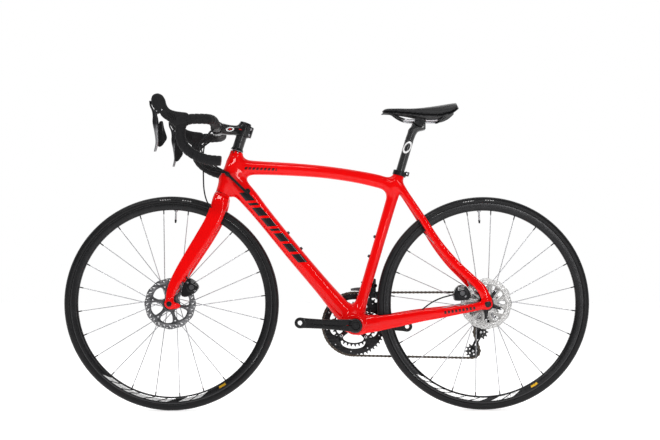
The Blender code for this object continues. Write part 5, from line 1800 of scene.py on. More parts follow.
def build_floor():
    floor_mesh = bpy.data.meshes.new("floor")
    corners = [(-1, -1), (1, -1), (1, 1), (-1, 1)]
    floor_mesh.from_pydata(
        [(x * FLOOR_HALF, y * FLOOR_HALF, 0) for x, y in corners], [], [(0, 1, 2, 3)]
    )
    floor = bpy.data.objects.new("floor", floor_mesh)
    floor.location = (-0.5, 0.0, GROUND - 0.0002)
    bpy.context.scene.collection.objects.link(floor)
    shade = Shade("floor_paper", (0.93, 0.93, 0.93), 0.95)
    shade.put("Specular IOR Level", 0.1)
    shade.put("Emission Color", (1.0, 1.0, 1.0, 1.0))
    shade.put("Emission Strength", 0.5)
    shade.tint(shade.ramp(shade.noise(1.5, 2.0), 0.3, 0.7), (0.95, 0.95, 0.95), 0.5)
    floor_mesh.materials.append(shade.material)


def build_world():
    """White where the camera sees it; as light, dim from the near side and full from the far."""
    world = bpy.data.worlds.new("studio")
    bpy.context.scene.world = world
    world.use_nodes = True
    tree = world.node_tree
    background = tree.nodes["Background"]
    split = tree.nodes.new("ShaderNodeSeparateXYZ")
    tree.links.new(tree.nodes.new("ShaderNodeTexCoord").outputs["Generated"], split.inputs[0])
    depth = tree.nodes.new("ShaderNodeMapRange")
    for key, number in (("From Min", -0.35), ("From Max", 0.45), ("To Min", 0.15), ("To Max", 1.0)):
        depth.inputs[key].default_value = number
    tree.links.new(split.outputs["Y"], depth.inputs["Value"])
    seen = tree.nodes.new("ShaderNodeMath")
    seen.operation = "MAXIMUM"
    tree.links.new(depth.outputs["Result"], seen.inputs[0])
    tree.links.new(tree.nodes.new("ShaderNodeLightPath").outputs["Is Camera Ray"], seen.inputs[1])
    tree.links.new(seen.outputs[0], background.inputs["Strength"])
    background.inputs["Color"].default_value = (1.0, 1.0, 1.0, 1.0)


def build_lights():
    for number, (place, size, power) in enumerate(SOFTBOXES):
        data = bpy.data.lights.new(f"softbox_{number}", "AREA")
        data.shape = "RECTANGLE"
        data.size, data.size_y = size
        data.energy = power
        lamp = bpy.data.objects.new(f"softbox_{number}", data)
        lamp.location = place
        lamp.rotation_euler = (LIGHT_AIM - Vector(place)).to_track_quat("-Z", "Y").to_euler()
        bpy.context.scene.collection.objects.link(lamp)


def build_camera():
    data = bpy.data.cameras.new("camera")
    data.sensor_width = 36.0
    data.lens = CAMERA_LENS_MM
    data.shift_y = CAMERA_SHIFT_UP
    data.clip_start = 0.05
    camera = bpy.data.objects.new("camera", data)
    camera.location = CAMERA_PLACE
    camera.rotation_euler = (math.pi / 2, 0.0, CAMERA_YAW)
    bpy.context.scene.collection.objects.link(camera)
    bpy.context.scene.camera = camera
    scene = bpy.context.scene
    scene.view_settings.view_transform = "Standard"
    scene.view_settings.look = "None"


# ------------------------------------------------------------------ wheels

SPOKES_PER_SIDE = 12
HUB_HOLE_R = 0.0196
SPOKE_ROUND, SPOKE_BLADE = (0.00105, 0.00105), (0.00135, 0.0007)
TYRE_HALF = 0.01295
HUB_BORE = 0.0064
ROTOR_HALF = 0.0009
LABEL_WHITE = (0.8, 0.8, 0.8)


def tyre_shade(place, valve):
    shade = Shade(
        "tyre_rubber_" + ("front" if place.x < -0.5 else "rear"),
        (0.0045, 0.0045, 0.0054),
        0.4,
        Specular_IOR_Level=0.24
    )
    angle, away = shade.angle(place, valve)
    wear = shade.noise(30.0, 4.0)
    tread = shade.between(away, TYRE_R - 0.0048, TYRE_R + 0.01, 0.0006)
    shade.tint(tread, (0.008, 0.008, 0.009), 0.8)
    shade.tint(shade.ramp(wear, 0.4, 0.8), (0.011, 0.0105, 0.0105), 0.45)
    dashes = shade.over(shade.wave(angle, 260.0), -0.2)
    sides = shade.between(shade.math("ABSOLUTE", angle), 0.055, 0.155, 0.002)
    row = shade.between(away, TYRE_R - 0.0125, TYRE_R - 0.01, 0.0002)
    shade.tint(both(shade, dashes, sides, row), (0.5, 0.5, 0.5), 0.9)
    thread = shade.wave(shade.math("ADD", shade.math("MULTIPLY", angle, 0.35), away), 4200.0)
    shade.bump(thread, 0.00005, 0.35)
    shade.bump(both(shade, shade.wave(angle, 900.0), tread), 0.00015, 0.5)
    shade.vary_roughness(wear, 0.34, 0.5)
    return shade


def rim_shade(place):
    shade = anodised(
        "rim_anodised_" + ("front" if place.x < -0.5 else "rear"), (0.014, 0.014, 0.015), 0.28, 0.7
    )
    angle, away = shade.angle(place)
    slant = 9.0
    lean = shade.leaning(angle, away, slant)
    base = slant * (RIM_IN + 0.0095)
    blocks = []
    for low, high in (
        (-131, -126), (-124.5, -118), (-116.5, -113), (-111.5, -104), (-102.5, -96), (-94.5, -90),
        (-83, -77), (-75.5, -70)
    ):
        blocks.append(
            shade.between(lean, math.radians(low) + base, math.radians(high) + base, 0.0015)
        )
    white = both(
        shade, either(shade, *blocks), shade.between(away, RIM_IN + 0.0045, RIM_IN + 0.015, 0.0003)
    )
    shade.tint(white, LABEL_WHITE)
    yellow = both(
        shade,
        shade.between(angle, math.radians(-60.5), math.radians(-56.0), 0.001),
        shade.between(away, RIM_IN + 0.0065, RIM_IN + 0.013, 0.0003)
    )
    shade.tint(yellow, (0.75, 0.42, 0.02))
    machined = shade.between(away, RIM_OUT - 0.003, RIM_OUT + 0.01, 0.0004)
    shade.tint(machined, (0.05, 0.05, 0.052), 0.7)
    return shade


def build_wheel(prefix, place, valve, flanges, left, right, rotor_y):
    body = f"{prefix}_wheel"
    build_tyre(prefix, place, valve, body)
    build_rim(prefix, place, body)
    build_hub(prefix, place, flanges, left, right, rotor_y, body)
    build_spokes(prefix, place, valve, flanges, body)
    build_valve(prefix, place, valve, body)
    build_rotor(prefix, place, rotor_y, body)


def build_tyre(prefix, place, valve, body):
    middle = TYRE_R - TYRE_HALF
    loop = [(RIM_OUT + 0.0004, -0.0094)]
    for t in np.linspace(-math.pi / 2 - 0.45, math.pi / 2 + 0.45, 27):
        size = TYRE_HALF + (0.00025 if abs(abs(t) - 0.95) < 0.06 else 0.0)
        loop.append((middle + size * math.cos(t), size * math.sin(t)))
    loop.append((RIM_OUT + 0.0004, 0.0094))
    piece(
        f"{prefix}_tyre_skin", lathe(loop, place, steps=180), tyre_shade(place, valve), body,
        (f"{prefix}_tyre",)
    )


def build_rim(prefix, place, body):
    rim = [
        (RIM_OUT, -0.0088), (RIM_OUT + 0.0002, -0.0106), (RIM_OUT - 0.0025, -0.01085),
        (RIM_OUT - 0.0075, -0.0106), (RIM_IN + 0.008, -0.01), (RIM_IN + 0.0036, -0.0084),
        (RIM_IN + 0.0008, -0.0055), (RIM_IN, -0.0025)
    ]
    rim += [(r, -h) for r, h in rim[::-1]]
    rim += [(RIM_OUT - 0.006, 0.005), (RIM_OUT - 0.006, -0.005)]
    piece(
        f"{prefix}_rim_hoop", lathe(rim, place, steps=180), rim_shade(place), body,
        (f"{prefix}_rim",), angle=50
    )


def build_hub(prefix, place, flanges, left, right, rotor_y, body):
    hub = [
        (HUB_BORE, left), (0.0095, left), (0.01, left + 0.0006), (0.01, rotor_y - 0.006),
        (0.0172, rotor_y - 0.0055), (0.0172, flanges[0] - 0.004), (0.019, flanges[0] - 0.0026),
        (0.0214, flanges[0] - 0.0022), (0.0221, flanges[0] - 0.0012), (0.0221, flanges[0] + 0.0012),
        (0.0214, flanges[0] + 0.0022), (0.017, flanges[0] + 0.0034), (0.0138, flanges[0] + 0.0075),
        (0.0122, flanges[0] + 0.014), (0.012, (flanges[0] + flanges[1]) / 2),
        (0.0122, flanges[1] - 0.014), (0.0138, flanges[1] - 0.0075), (0.017, flanges[1] - 0.0034),
        (0.0214, flanges[1] - 0.0022), (0.0221, flanges[1] - 0.0012), (0.0221, flanges[1] + 0.0012),
        (0.0214, flanges[1] + 0.0022), (0.015, flanges[1] + 0.0042), (0.0125, right - 0.0008),
        (0.0118, right), (HUB_BORE, right)
    ]
    piece(
        f"{prefix}_hub_shell", lathe(hub, place, steps=64), ALLOY_BLACK, body, (f"{prefix}_hub",),
        angle=40
    )


def spoke(start, end):
    """A bladed spoke, round at both ends."""
    reach = (end - start).normalized()
    across = (Y - reach * Y.dot(reach)).normalized()
    around = reach.cross(across)
    stations = (
        (start, SPOKE_ROUND), (start + reach * 0.012, SPOKE_ROUND),
        (start + reach * 0.02, SPOKE_BLADE), (end - reach * 0.03, SPOKE_BLADE),
        (end - reach * 0.02, SPOKE_ROUND), (end - reach * 0.01, SPOKE_ROUND)
    )
    verts, faces = [], []
    for point, (wide, thin) in stations:
        for k in range(8):
            t = 2 * math.pi * k / 8
            verts.append(point + around * (math.cos(t) * wide) + across * (math.sin(t) * thin))
    for r in range(len(stations) - 1):
        for k in range(8):
            n = (k + 1) % 8
            faces.append((r * 8 + k, r * 8 + n, (r + 1) * 8 + n, (r + 1) * 8 + k))
    faces += [tuple(range(8))[::-1], tuple(range(len(verts) - 8, len(verts)))]
    return outward(mesh_from(verts, faces))


def build_spokes(prefix, place, valve, flanges, body):
    step = math.pi / SPOKES_PER_SIDE
    nipples, heads = [], []
    for (name, side), flange_y, shift in zip(SIDES, flanges, (0, 1)):
        spokes = []
        for i in range(SPOKES_PER_SIDE):
            rim_angle = valve + step / 2 + step * (2 * i + shift)
            lead = 1 if i % 2 == 0 else -1
            hub_angle = rim_angle + lead * math.radians(60)
            out = 0.0012 * (1 if i % 2 else -1)
            x, z = on_circle((0.0, 0.0), HUB_HOLE_R, hub_angle)
            start = place + Vector((x, flange_y + out * 1.6, z))
            x, z = on_circle((0.0, 0.0), RIM_IN + 0.002, rim_angle)
            end = place + Vector((x, side * 0.0015, z))
            reach = (end - start).normalized()
            spokes.append(spoke(start, end))
            nipples.append(rod(end - reach * 0.0135, end + reach * 0.001, 0.0019, 12, dome=0.0008))
            heads.append(rod(start - Y * (out * 1.2), start + Y * (out * 1.5), 0.0014, 10))
        piece(
            f"{prefix}_spokes_{name}_set", spokes, SPOKE_STEEL, body, (f"{prefix}_spokes_{name}",),
        )
    piece(f"{prefix}_nipples", nipples, ALLOY_BLACK, body)
    piece(f"{prefix}_spoke_heads", heads, SPOKE_STEEL, body)


def build_valve(prefix, place, valve, body):
    out = Vector((math.cos(valve), 0, math.sin(valve)))
    root = place + out * RIM_IN
    stem = [
        rod(root + out * 0.002, root - out * 0.03, 0.003, 16),
        rod(root - out * 0.0005, root - out * 0.0035, 0.0058, 24)
    ]
    piece(f"{prefix}_valve", stem, BOLT_STEEL, body, angle=40)
    piece(
        f"{prefix}_valve_cap",
        rod(root - out * 0.0285, root - out * 0.04, 0.0036, 12, 0.0026, dome=0.0015),
        RUBBER,
        body
    )


def front_openings(spot):
    """Six large windows, and slits and holes round the braking track."""
    holes = []
    for i in range(6):
        a = 2 * math.pi * i / 6 + 0.3
        window = []
        for r, t in (
            (0.026, -0.3), (0.0255, 0.3), (0.04, 0.4), (0.059, 0.36), (0.062, 0.0), (0.059, -0.36),
            (0.04, -0.42)
        ):
            window.append(on_circle(spot, r, a + t))
        holes.append(rounded(window, 4, 0.36))
    for i in range(24):
        a = 2 * math.pi * i / 24
        slit = []
        for r, t in ((0.0665, -0.02), (0.0735, 0.055), (0.0752, 0.032), (0.0682, -0.045)):
            slit.append(on_circle(spot, r, a + t))
        holes.append(rounded(slit, 3, 0.4))
        b = a + math.pi / 24
        holes.append(circle(on_circle(spot, 0.0752, b), 0.0016, 10))
    return holes


def rear_openings(spot):
    """Twelve slanted windows and two rings of holes."""
    holes = []
    for i in range(12):
        a = 2 * math.pi * i / 12
        window = []
        for r, t in ((0.033, -0.1), (0.033, 0.12), (0.06, 0.22), (0.061, -0.02), (0.048, -0.12)):
            window.append(on_circle(spot, r, a + t))
        holes.append(rounded(window, 4, 0.36))
    for i in range(30):
        a = 2 * math.pi * i / 30
        for r, shift in ((0.0682, 0.0), (0.0742, 0.5)):
            b = a + shift * 2 * math.pi / 30
            holes.append(circle(on_circle(spot, r, b), 0.0017, 10))
    return holes


def build_rotor(prefix, place, rotor_y, body):
    front = prefix == "front"
    spot = (place.x, place.z)
    outer = []
    for i in range(192):
        t = 2 * math.pi * i / 192
        outer.append(on_circle(spot, 0.079 + 0.0009 * math.cos(12 * t), t))
    holes = front_openings(spot) if front else rear_openings(spot)
    holes.append(circle(spot, 0.0179, 40))
    disc = plate([outer, *holes], rotor_y - ROTOR_HALF, rotor_y + ROTOR_HALF, 0.0002)
    name = "rotor_steel_" + prefix
    shade = metal(name, (0.1, 0.1, 0.105) if front else (0.3, 0.295, 0.29), 0.34 if front else 0.3)
    _, away = shade.angle(place)
    shade.bump(shade.wave(away, 9000.0), 0.00002, 0.4)
    track = shade.between(away, 0.064, 0.0785, 0.0006)
    shade.tint(track, (0.24, 0.24, 0.25) if front else (0.44, 0.435, 0.43), 0.5 if front else 0.8)
    piece(
        f"{prefix}_rotor_disc", disc, shade, body, (f"{prefix}_rotor",),
        angle=40
    )
    arms = []
    count = 6 if front else 5
    for i in range(count):
        a = 2 * math.pi * (i + 0.5) / count + 0.3
        tip = 0.056 if front else 0.05
        outline = []
        for r, t in (
            (0.02, -0.42), (0.02, 0.42), (0.038, 0.11), (tip, 0.1), (tip + 0.003, 0.0), (tip, -0.1),
            (0.038, -0.11)
        ):
            outline.append(on_circle(spot, r, a + t))
        arms.append(plate([rounded(outline, 3, 0.3)], rotor_y - 0.0021, rotor_y - 0.001, 0.0003))
    arms.append(
        plate(
            [circle(spot, 0.0232, 48), circle(spot, 0.0176, 40)],
            rotor_y - 0.003,
            rotor_y - 0.001,
            0.0003
        )
    )
    piece(f"{prefix}_rotor_carrier", arms, DARK_STEEL if front else ALLOY_BLACK, body, angle=40)
    ring = [
        on_circle(spot, 0.0196 + (0.0008 if (i // 2) % 2 else 0.0), 2 * math.pi * i / 96)
        for i in range(96)
    ]
    piece(
        f"{prefix}_lockring",
        plate([ring, circle(spot, 0.0118, 32)], rotor_y - 0.0058, rotor_y - 0.003, 0.0003),
        ALLOY_BLACK,
        body,
        angle=40
    )
    rivets = []
    for i in range(count):
        a = 2 * math.pi * (i + 0.5) / count + 0.3
        r = 0.0545 if front else 0.049
        foot = round_axle(place, r, a, rotor_y - 0.0019)
        rivets.append(rod(foot, foot - Y * 0.0012, 0.0024, 16, dome=0.0005))
    piece(f"{prefix}_rotor_rivets", rivets, SILVER, body)


def build_wheels():
    build_wheel(
        "front", FRONT, math.radians(87.4), (-0.024, 0.033), -0.0497, 0.0497,
        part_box("front_rotor")[0].y + ROTOR_HALF
    )
    build_wheel(
        "rear", REAR, math.radians(92.8), (-0.036, 0.019), -0.0707, 0.0265,
        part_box("rear_rotor")[0].y + ROTOR_HALF
    )
    collar = [(0.0066, 0.0), (0.0118, 0.0), (0.0122, 0.0008), (0.0122, 0.003), (0.0066, 0.003)]
    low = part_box("front_hub")[0].y
    piece(
        "front_hub_collar",
        lathe(collar, FRONT + Y * (low + 0.0012), steps=48),
        GOLD,
        "front_wheel",
        angle=40
    )
    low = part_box("rear_hub")[0].y
    piece(
        "rear_hub_collar",
        lathe(collar, REAR + Y * (low + 0.0012), steps=48),
        GOLD,
        "rear_wheel",
        angle=40
    )


def build_axles():
    for name, place, low, high, body in (
        ("front", FRONT, -0.066, 0.063, "steering"), ("rear", REAR, -0.0815, 0.0845, "frame")
    ):
        radius = 0.0085 if name == "front" else 0.0105
        loop = [
            (0.0, low + 0.0012), (0.0034, low + 0.0012), (0.0036, low + 0.0001),
            (radius - 0.0012, low), (radius, low + 0.0008), (radius, low + 0.0024),
            (0.006, low + 0.0026), (0.006, high - 0.0006), (0.0054, high), (0.0, high)
        ]
        piece(
            f"{name}_through_axle", solid_turn(loop, place, Y, 40), ALLOY_BLACK, body,
            (f"{name}_axle",), angle=40
        )


# ------------------------------------------------------------------ drivetrain


def pitch_radius(teeth):
    return PITCH / (2 * math.sin(math.pi / teeth))


def chain_wheels():
    return [
        ((REAR.x, REAR.z), 17, 1), ((BB.x, BB.z), 50, 1), ((TENSION.x, TENSION.z), 11, 1),
        ((GUIDE.x, GUIDE.z), 11, -1)
    ]


def chain_layout():
    """(roller centres with the chain's direction, tooth-gap angle of each wheel)."""
    wheels = chain_wheels()
    runs = []
    for (a, ta, sa), (b, tb, sb) in zip(wheels, wheels[1:] + wheels[:1]):
        oa, ob = sa * pitch_radius(ta), sb * pitch_radius(tb)
        way = math.atan2(b[1] - a[1], b[0] - a[0]) - math.asin((ob - oa) / math.dist(a, b))
        left = (-math.sin(way), math.cos(way))
        runs.append(
            (
                (a[0] - oa * left[0], a[1] - oa * left[1]),
                (b[0] - ob * left[0], b[1] - ob * left[1]), way
            )
        )
    rollers, phases, travelled = [], {}, 0.0
    for i, (start, end, way) in enumerate(runs):
        length = math.dist(start, end) / PITCH
        for k in range(math.ceil(travelled), math.ceil(travelled + length)):
            share = (k - travelled) / length
            rollers.append(
                (start[0] + (end[0] - start[0]) * share, start[1] + (end[1] - start[1]) * share)
            )
        travelled += length
        n = (i + 1) % len(wheels)
        place, teeth, sense = wheels[n]
        turn_step = 2 * math.pi / teeth
        entry = math.atan2(end[1] - place[1], end[0] - place[0])
        phases[n] = entry - sense * travelled * turn_step
        turn = ((runs[n][2] - way) * sense) % (2 * math.pi) / turn_step
        for k in range(math.ceil(travelled), math.ceil(travelled + turn)):
            angle = entry + sense * (k - travelled) * turn_step
            rollers.append(on_circle(place, pitch_radius(teeth), angle))
        travelled += turn
    return rollers, phases


ROLLERS, PHASES = chain_layout()


def toothed(place, teeth, gap_angle, root=0.004, tip=0.0034):
    """A sprocket outline with round roller seats."""
    radius = pitch_radius(teeth)
    found = []
    for i in range(teeth):
        gap = gap_angle + 2 * math.pi * i / teeth
        half = math.pi / teeth
        seat = [
            (-0.004, 0.0002), (-0.0034, -0.0024), (-0.0018, -root * 0.95), (0.0, -root),
            (0.0018, -root * 0.95), (0.0034, -0.0024), (0.004, 0.0002)
        ]
        for across, rise in seat:
            r = radius + rise
            found.append(on_circle(place, r, gap + across / radius))
        for share in (0.82, 1.18):
            r = radius + tip
            angle = gap + half * share
            found.append(on_circle(place, r, angle))
    return found


def link_outline(length, waist, end, steps=7):
    """A chain link's side plate, from one pin to the next along +X."""
    found = []
    for i in range(steps):
        t = math.pi / 2 + 0.35 + (math.pi - 0.7) * i / (steps - 1)
        found.append((end * math.cos(t), end * math.sin(t)))
    found.append((length / 2, -waist))
    for i in range(steps):
        t = -math.pi / 2 + 0.35 + (math.pi - 0.7) * i / (steps - 1)
        found.append((length + end * math.cos(t), end * math.sin(t)))
    found.append((length / 2, waist))
    return found


def build_chain():
    count = len(ROLLERS)
    outline = link_outline(PITCH, 0.0027, 0.0041)
    outer = [plate([outline], low, low + 0.0009, 0.0002) for low in (-0.0035, 0.0026)]
    inner = [plate([outline], low, low + 0.0009, 0.0002) for low in (-0.0024, 0.0015)]
    pin = rod((0, -0.0038, 0), (0, 0.0038, 0), 0.0018, 10)
    roller = lathe(
        [(0.002, -0.0014), (0.0038, -0.0014), (0.0038, 0.0014), (0.002, 0.0014)],
        (0, 0, 0),
        steps=14
    )
    work = {"plates": bmesh.new(), "rollers": bmesh.new()}
    for i, (x, z) in enumerate(ROLLERS):
        nx, nz = ROLLERS[(i + 1) % count]
        angle = math.atan2(nz - z, nx - x)
        place = Matrix.Translation((x, CHAIN_Y, z)) @ Matrix.Rotation(-angle, 4, "Y")
        for part in outer if i % 2 else inner:
            copy = part.copy()
            copy.transform(place)
            work["plates"].from_mesh(copy)
        for part, key in ((pin, "plates"), (roller, "rollers")):
            copy = part.copy()
            copy.transform(Matrix.Translation((x, CHAIN_Y, z)))
            work[key].from_mesh(copy)
    made = {}
    for key, data in work.items():
        made[key] = bpy.data.meshes.new(key)
        data.to_mesh(made[key])
        data.free()
    piece("chain_plates", made["plates"], CHAIN_STEEL, "frame", ("chain",), angle=40)
    piece("chain_rollers", made["rollers"], DARK_STEEL, "frame", angle=40)


CRANK_ANGLE = math.radians(3.0)
ARM_ANGLES = [math.radians(45 + 90 * i) - CRANK_ANGLE for i in range(4)]
BOLT_CIRCLE = 0.055


def lobed(radius, depth, width, count):
    """A chainring's opening, with a lobe reaching in to the bolt at each arm."""
    found = []
    for i in range(count):
        t = 2 * math.pi * i / count
        near = min(abs((t - a + math.pi) % (2 * math.pi) - math.pi) for a in ARM_ANGLES)
        r = radius - depth * math.exp(-((near / width) ** 2))
        found.append(on_circle((BB.x, BB.z), r, t))
    return found


def build_rings():
    place = (BB.x, BB.z)
    outer_y, inner_y = CHAIN_Y, CHAIN_Y - 0.0076
    lobes = lobed(0.079, 0.019, 0.22, 160)
    big = [plate([toothed(place, 50, PHASES[1]), lobes], outer_y - 0.001, outer_y + 0.001, 0.0002)]
    inside = lobed(0.06, 0.0095, 0.16, 120)
    small = plate([toothed(place, 34, 0.05), inside], inner_y - 0.001, inner_y + 0.001, 0.0002)
    shade = anodised("ring_black", (0.022, 0.022, 0.023), 0.34, 0.9)
    _, away = shade.angle(BB)
    worn = shade.between(away, pitch_radius(50) - 0.005, pitch_radius(50) + 0.01, 0.0008)
    shade.tint(
        both(shade, worn, shade.ramp(shade.noise(500.0, 3.0), 0.4, 0.7)), (0.16, 0.16, 0.165), 0.7
    )
    shade.bump(shade.wave(away, 6000.0), 0.00002, 0.35)
    piece(
        "chainring_outer_plate", big, shade, "crank", ("chainring_outer",), angle=40
    )
    piece(
        "chainring_inner_plate", small, shade, "crank", ("chainring_inner",),
        angle=40
    )
    pins = []
    for i in range(10):
        a = 2 * math.pi * i / 10 + 0.2
        spot = round_axle(BB, 0.0885, a, outer_y - 0.001)
        pins.append(rod(spot, spot - Y * 0.0009, 0.002, 12))
    bolts = []
    for a in ARM_ANGLES:
        spot = round_axle(BB, BOLT_CIRCLE, a)
        bolts.append(bolt(spot + Y * (inner_y - 0.0003), -Y, 0.0048, 0.0008, 0.55))
        bolts.append(rod(spot + Y * (inner_y + 0.001), spot + Y * 0.0424, 0.0042, 20))
        bolts.append(bolt(spot + Y * 0.0525, Y, 0.004, 0.0012, 0.6))
    piece("chainring_pins", pins, SILVER, "crank", angle=40)
    piece("chainring_bolts", bolts, SILVER, "crank", angle=40)


def crank_outline(reach, near, far, steps=9):
    """The arm seen from the side, along +X from the axle, slightly waisted."""
    found = []
    for i in range(steps):
        t = math.pi / 2 + math.pi * i / (steps - 1)
        found.append((near * math.cos(t), near * math.sin(t)))
    found += [(reach * 0.3, -near * 0.86), (reach * 0.62, -far * 0.9), (reach * 0.85, -far * 0.94)]
    for i in range(steps):
        t = -math.pi / 2 + math.pi * i / (steps - 1)
        found.append((reach + far * math.cos(t), far * math.sin(t)))
    found += [(reach * 0.85, far * 0.94), (reach * 0.62, far * 0.9), (reach * 0.3, near * 0.86)]
    return found


def along_arm(way, x, z):
    """A place on a crank arm's side view, x out from the axle along the arm and z across it."""
    return BB.x + x * way[0] - z * way[1], BB.z + x * way[1] + z * way[0]


def spider_arms():
    """The right crank's four arms, out to the chainring bolts."""
    spokes = []
    for a in ARM_ANGLES:
        (x, z), (root_x, root_z) = (on_circle((BB.x, BB.z), r, a) for r in (BOLT_CIRCLE, 0.012))
        tip, root = (x, 0.045, z), (root_x, 0.05, root_z)
        beam = f_beam(
            [
                (*root, 0.022, 0.008),
                (*[(p + q) / 2 for p, q in zip(root, tip)], 0.017, 0.0064),
                (*tip, 0.0135, 0.0048)
            ],
            3.0
        )
        spokes.append(f_join(0.003, beam, f_pin((x, z), 0.0426, 0.0523, 0.007, 0.0012)))
    return spokes


def build_pedal_threads(name, eye, y_mid):
    insert = lathe(
        [(0.0071, -0.0055), (0.0088, -0.0058), (0.0088, 0.0058), (0.0071, 0.0055)],
        Vector((eye.x, y_mid, eye.z)),
        steps=40
    )
    threads = []
    for k in range(9):
        threads.append(
            lathe(
                [(0.0066, -0.0003), (0.0073, -0.0006), (0.0073, 0.0006), (0.0066, 0.0003)],
                Vector((eye.x, y_mid - 0.0048 + 0.0012 * k, eye.z)),
                steps=32
            )
        )
    piece(f"pedal_thread_{name}", [insert, *threads], SILVER, "crank", angle=40)


def build_cranks():
    reach = 0.1725
    forward = (-math.cos(CRANK_ANGLE), math.sin(CRANK_ANGLE))
    for name, side in SIDES:
        way = (forward[0] * -side, forward[1] * -side)
        outline = [along_arm(way, x, z) for x, z in crank_outline(reach, 0.0198, 0.0163)]
        low, high = (-0.0744, -0.0626) if side < 0 else (0.0626, 0.0744)
        eye = Vector((BB.x + way[0] * reach, 0, BB.z + way[1] * reach))
        arm = f_plate(outline, low, high, 0.0042)
        y_mid = (low + high) / 2
        boss = f_pin(eye, low, high, 0.016, 0.0014)
        body = f_join(0.004, arm, boss)
        if side < 0:
            hub = f_pin(BB, -0.0742, -0.0392, 0.0188, 0.0012)
            body = f_join(0.006, body, hub)
            body = f_cut(0.001, body, f_pin(BB, -0.08, -0.035, 0.0124, 0.0003))
            split = f_box(
                (BB.x + way[0] * 0.018, -0.058, BB.z + way[1] * 0.018), (0.01, 0.03, 0.0007), 0.0002
            )
            body = f_cut(0.0006, body, split)
        else:
            hub = f_pin(BB, 0.043, 0.072, 0.0236, 0.003)
            body = f_join(0.01, body, hub)
            body = f_join(0.012, body, *spider_arms())
        body = f_cut(0.0008, body, f_pin(eye, low - 0.002, high + 0.002, 0.0071, 0.0003))
        groove = f_plate(
            [
                along_arm(way, x, z)
                for x, z in (
                    (0.04, -0.0035), (0.135, -0.0028), (0.14, 0.0), (0.135, 0.0028), (0.04, 0.0035),
                    (0.035, 0.0)
                )
            ],
            *((low - 0.001, low + 0.0022) if side < 0 else (high - 0.0022, high + 0.001)),
            0.0008
        )
        body = f_cut(0.0014, body, groove)
        box_low, box_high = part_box(f"crank_{name}")
        margin = Vector((0.003, 0.002, 0.003))
        shade = gloss_black(f"crank_paint_{name}", 0.26)
        if side < 0:
            box_high.y = -0.036
        else:
            box_low.y = 0.038
        field_piece(
            f"crank_arm_{name}", body, box_low - margin, box_high + margin, 0.0013, shade, "crank",
            (f"crank_{name}",)
        )
        build_pedal_threads(name, eye, y_mid)
        if side < 0:
            for k, off in enumerate((-0.05, -0.067)):
                spot = Vector((BB.x + way[0] * 0.0175, off, BB.z + way[1] * 0.0175 + 0.0155))
                bolts_piece(
                    f"pinch_bolt_{k}", bolt(spot, Vector((0, 0, 1)), 0.0033, 0.003, 0.55), "crank"
                )
            cap = [
                (0, -0.075), (0.006, -0.075), (0.0066, -0.0743), (0.0112, -0.0743),
                (0.0118, -0.0735), (0.0118, -0.07), (0, -0.07)
            ]
            piece("crank_preload_cap", solid_turn(cap, BB, Y, 40), ALLOY_BLACK, "crank", angle=35)
            piece("spindle", rod(BB + Y * -0.0738, BB + Y * 0.06, 0.0119, 40), DARK_STEEL, "crank")
        else:
            cap = [(0, 0.0726), (0.015, 0.0726), (0.0158, 0.072), (0.0158, 0.07), (0, 0.07)]
            piece("crank_cap_right", solid_turn(cap, BB, Y, 48), ALLOY_BLACK, "crank", angle=35)


def build_bottom_bracket():
    for name, side in SIDES:
        loop = [
            (0.0124, 0.027), (0.0207, 0.027), (0.0207, 0.0368), (0.024, 0.0369), (0.0245, 0.0374),
            (0.0245, 0.0384), (0.0238, 0.0388), (0.018, 0.0388), (0.0176, 0.0383), (0.0124, 0.0383)
        ]
        cup = lathe(loop, BB, Y * side, steps=64)
        piece(
            f"bb_cup_{name}", cup, ALLOY_BLACK, "frame", (f"bb_bearing_{name}",),
            angle=35
        )
        notches = []
        for i in range(16):
            a = 2 * math.pi * i / 16
            spot = round_axle(BB, 0.024, a, side * 0.0378)
            notches.append(rod(spot - Y * 0.0009, spot + Y * 0.0009, 0.0014, 8))
        piece(f"bb_cup_splines_{name}", notches, DARK_STEEL, "frame", angle=40)


def turned(x, z, angle):
    """A point of the side view turned round the origin."""
    return x * math.cos(angle) - z * math.sin(angle), x * math.sin(angle) + z * math.cos(angle)


COG_PITCH = 0.00372


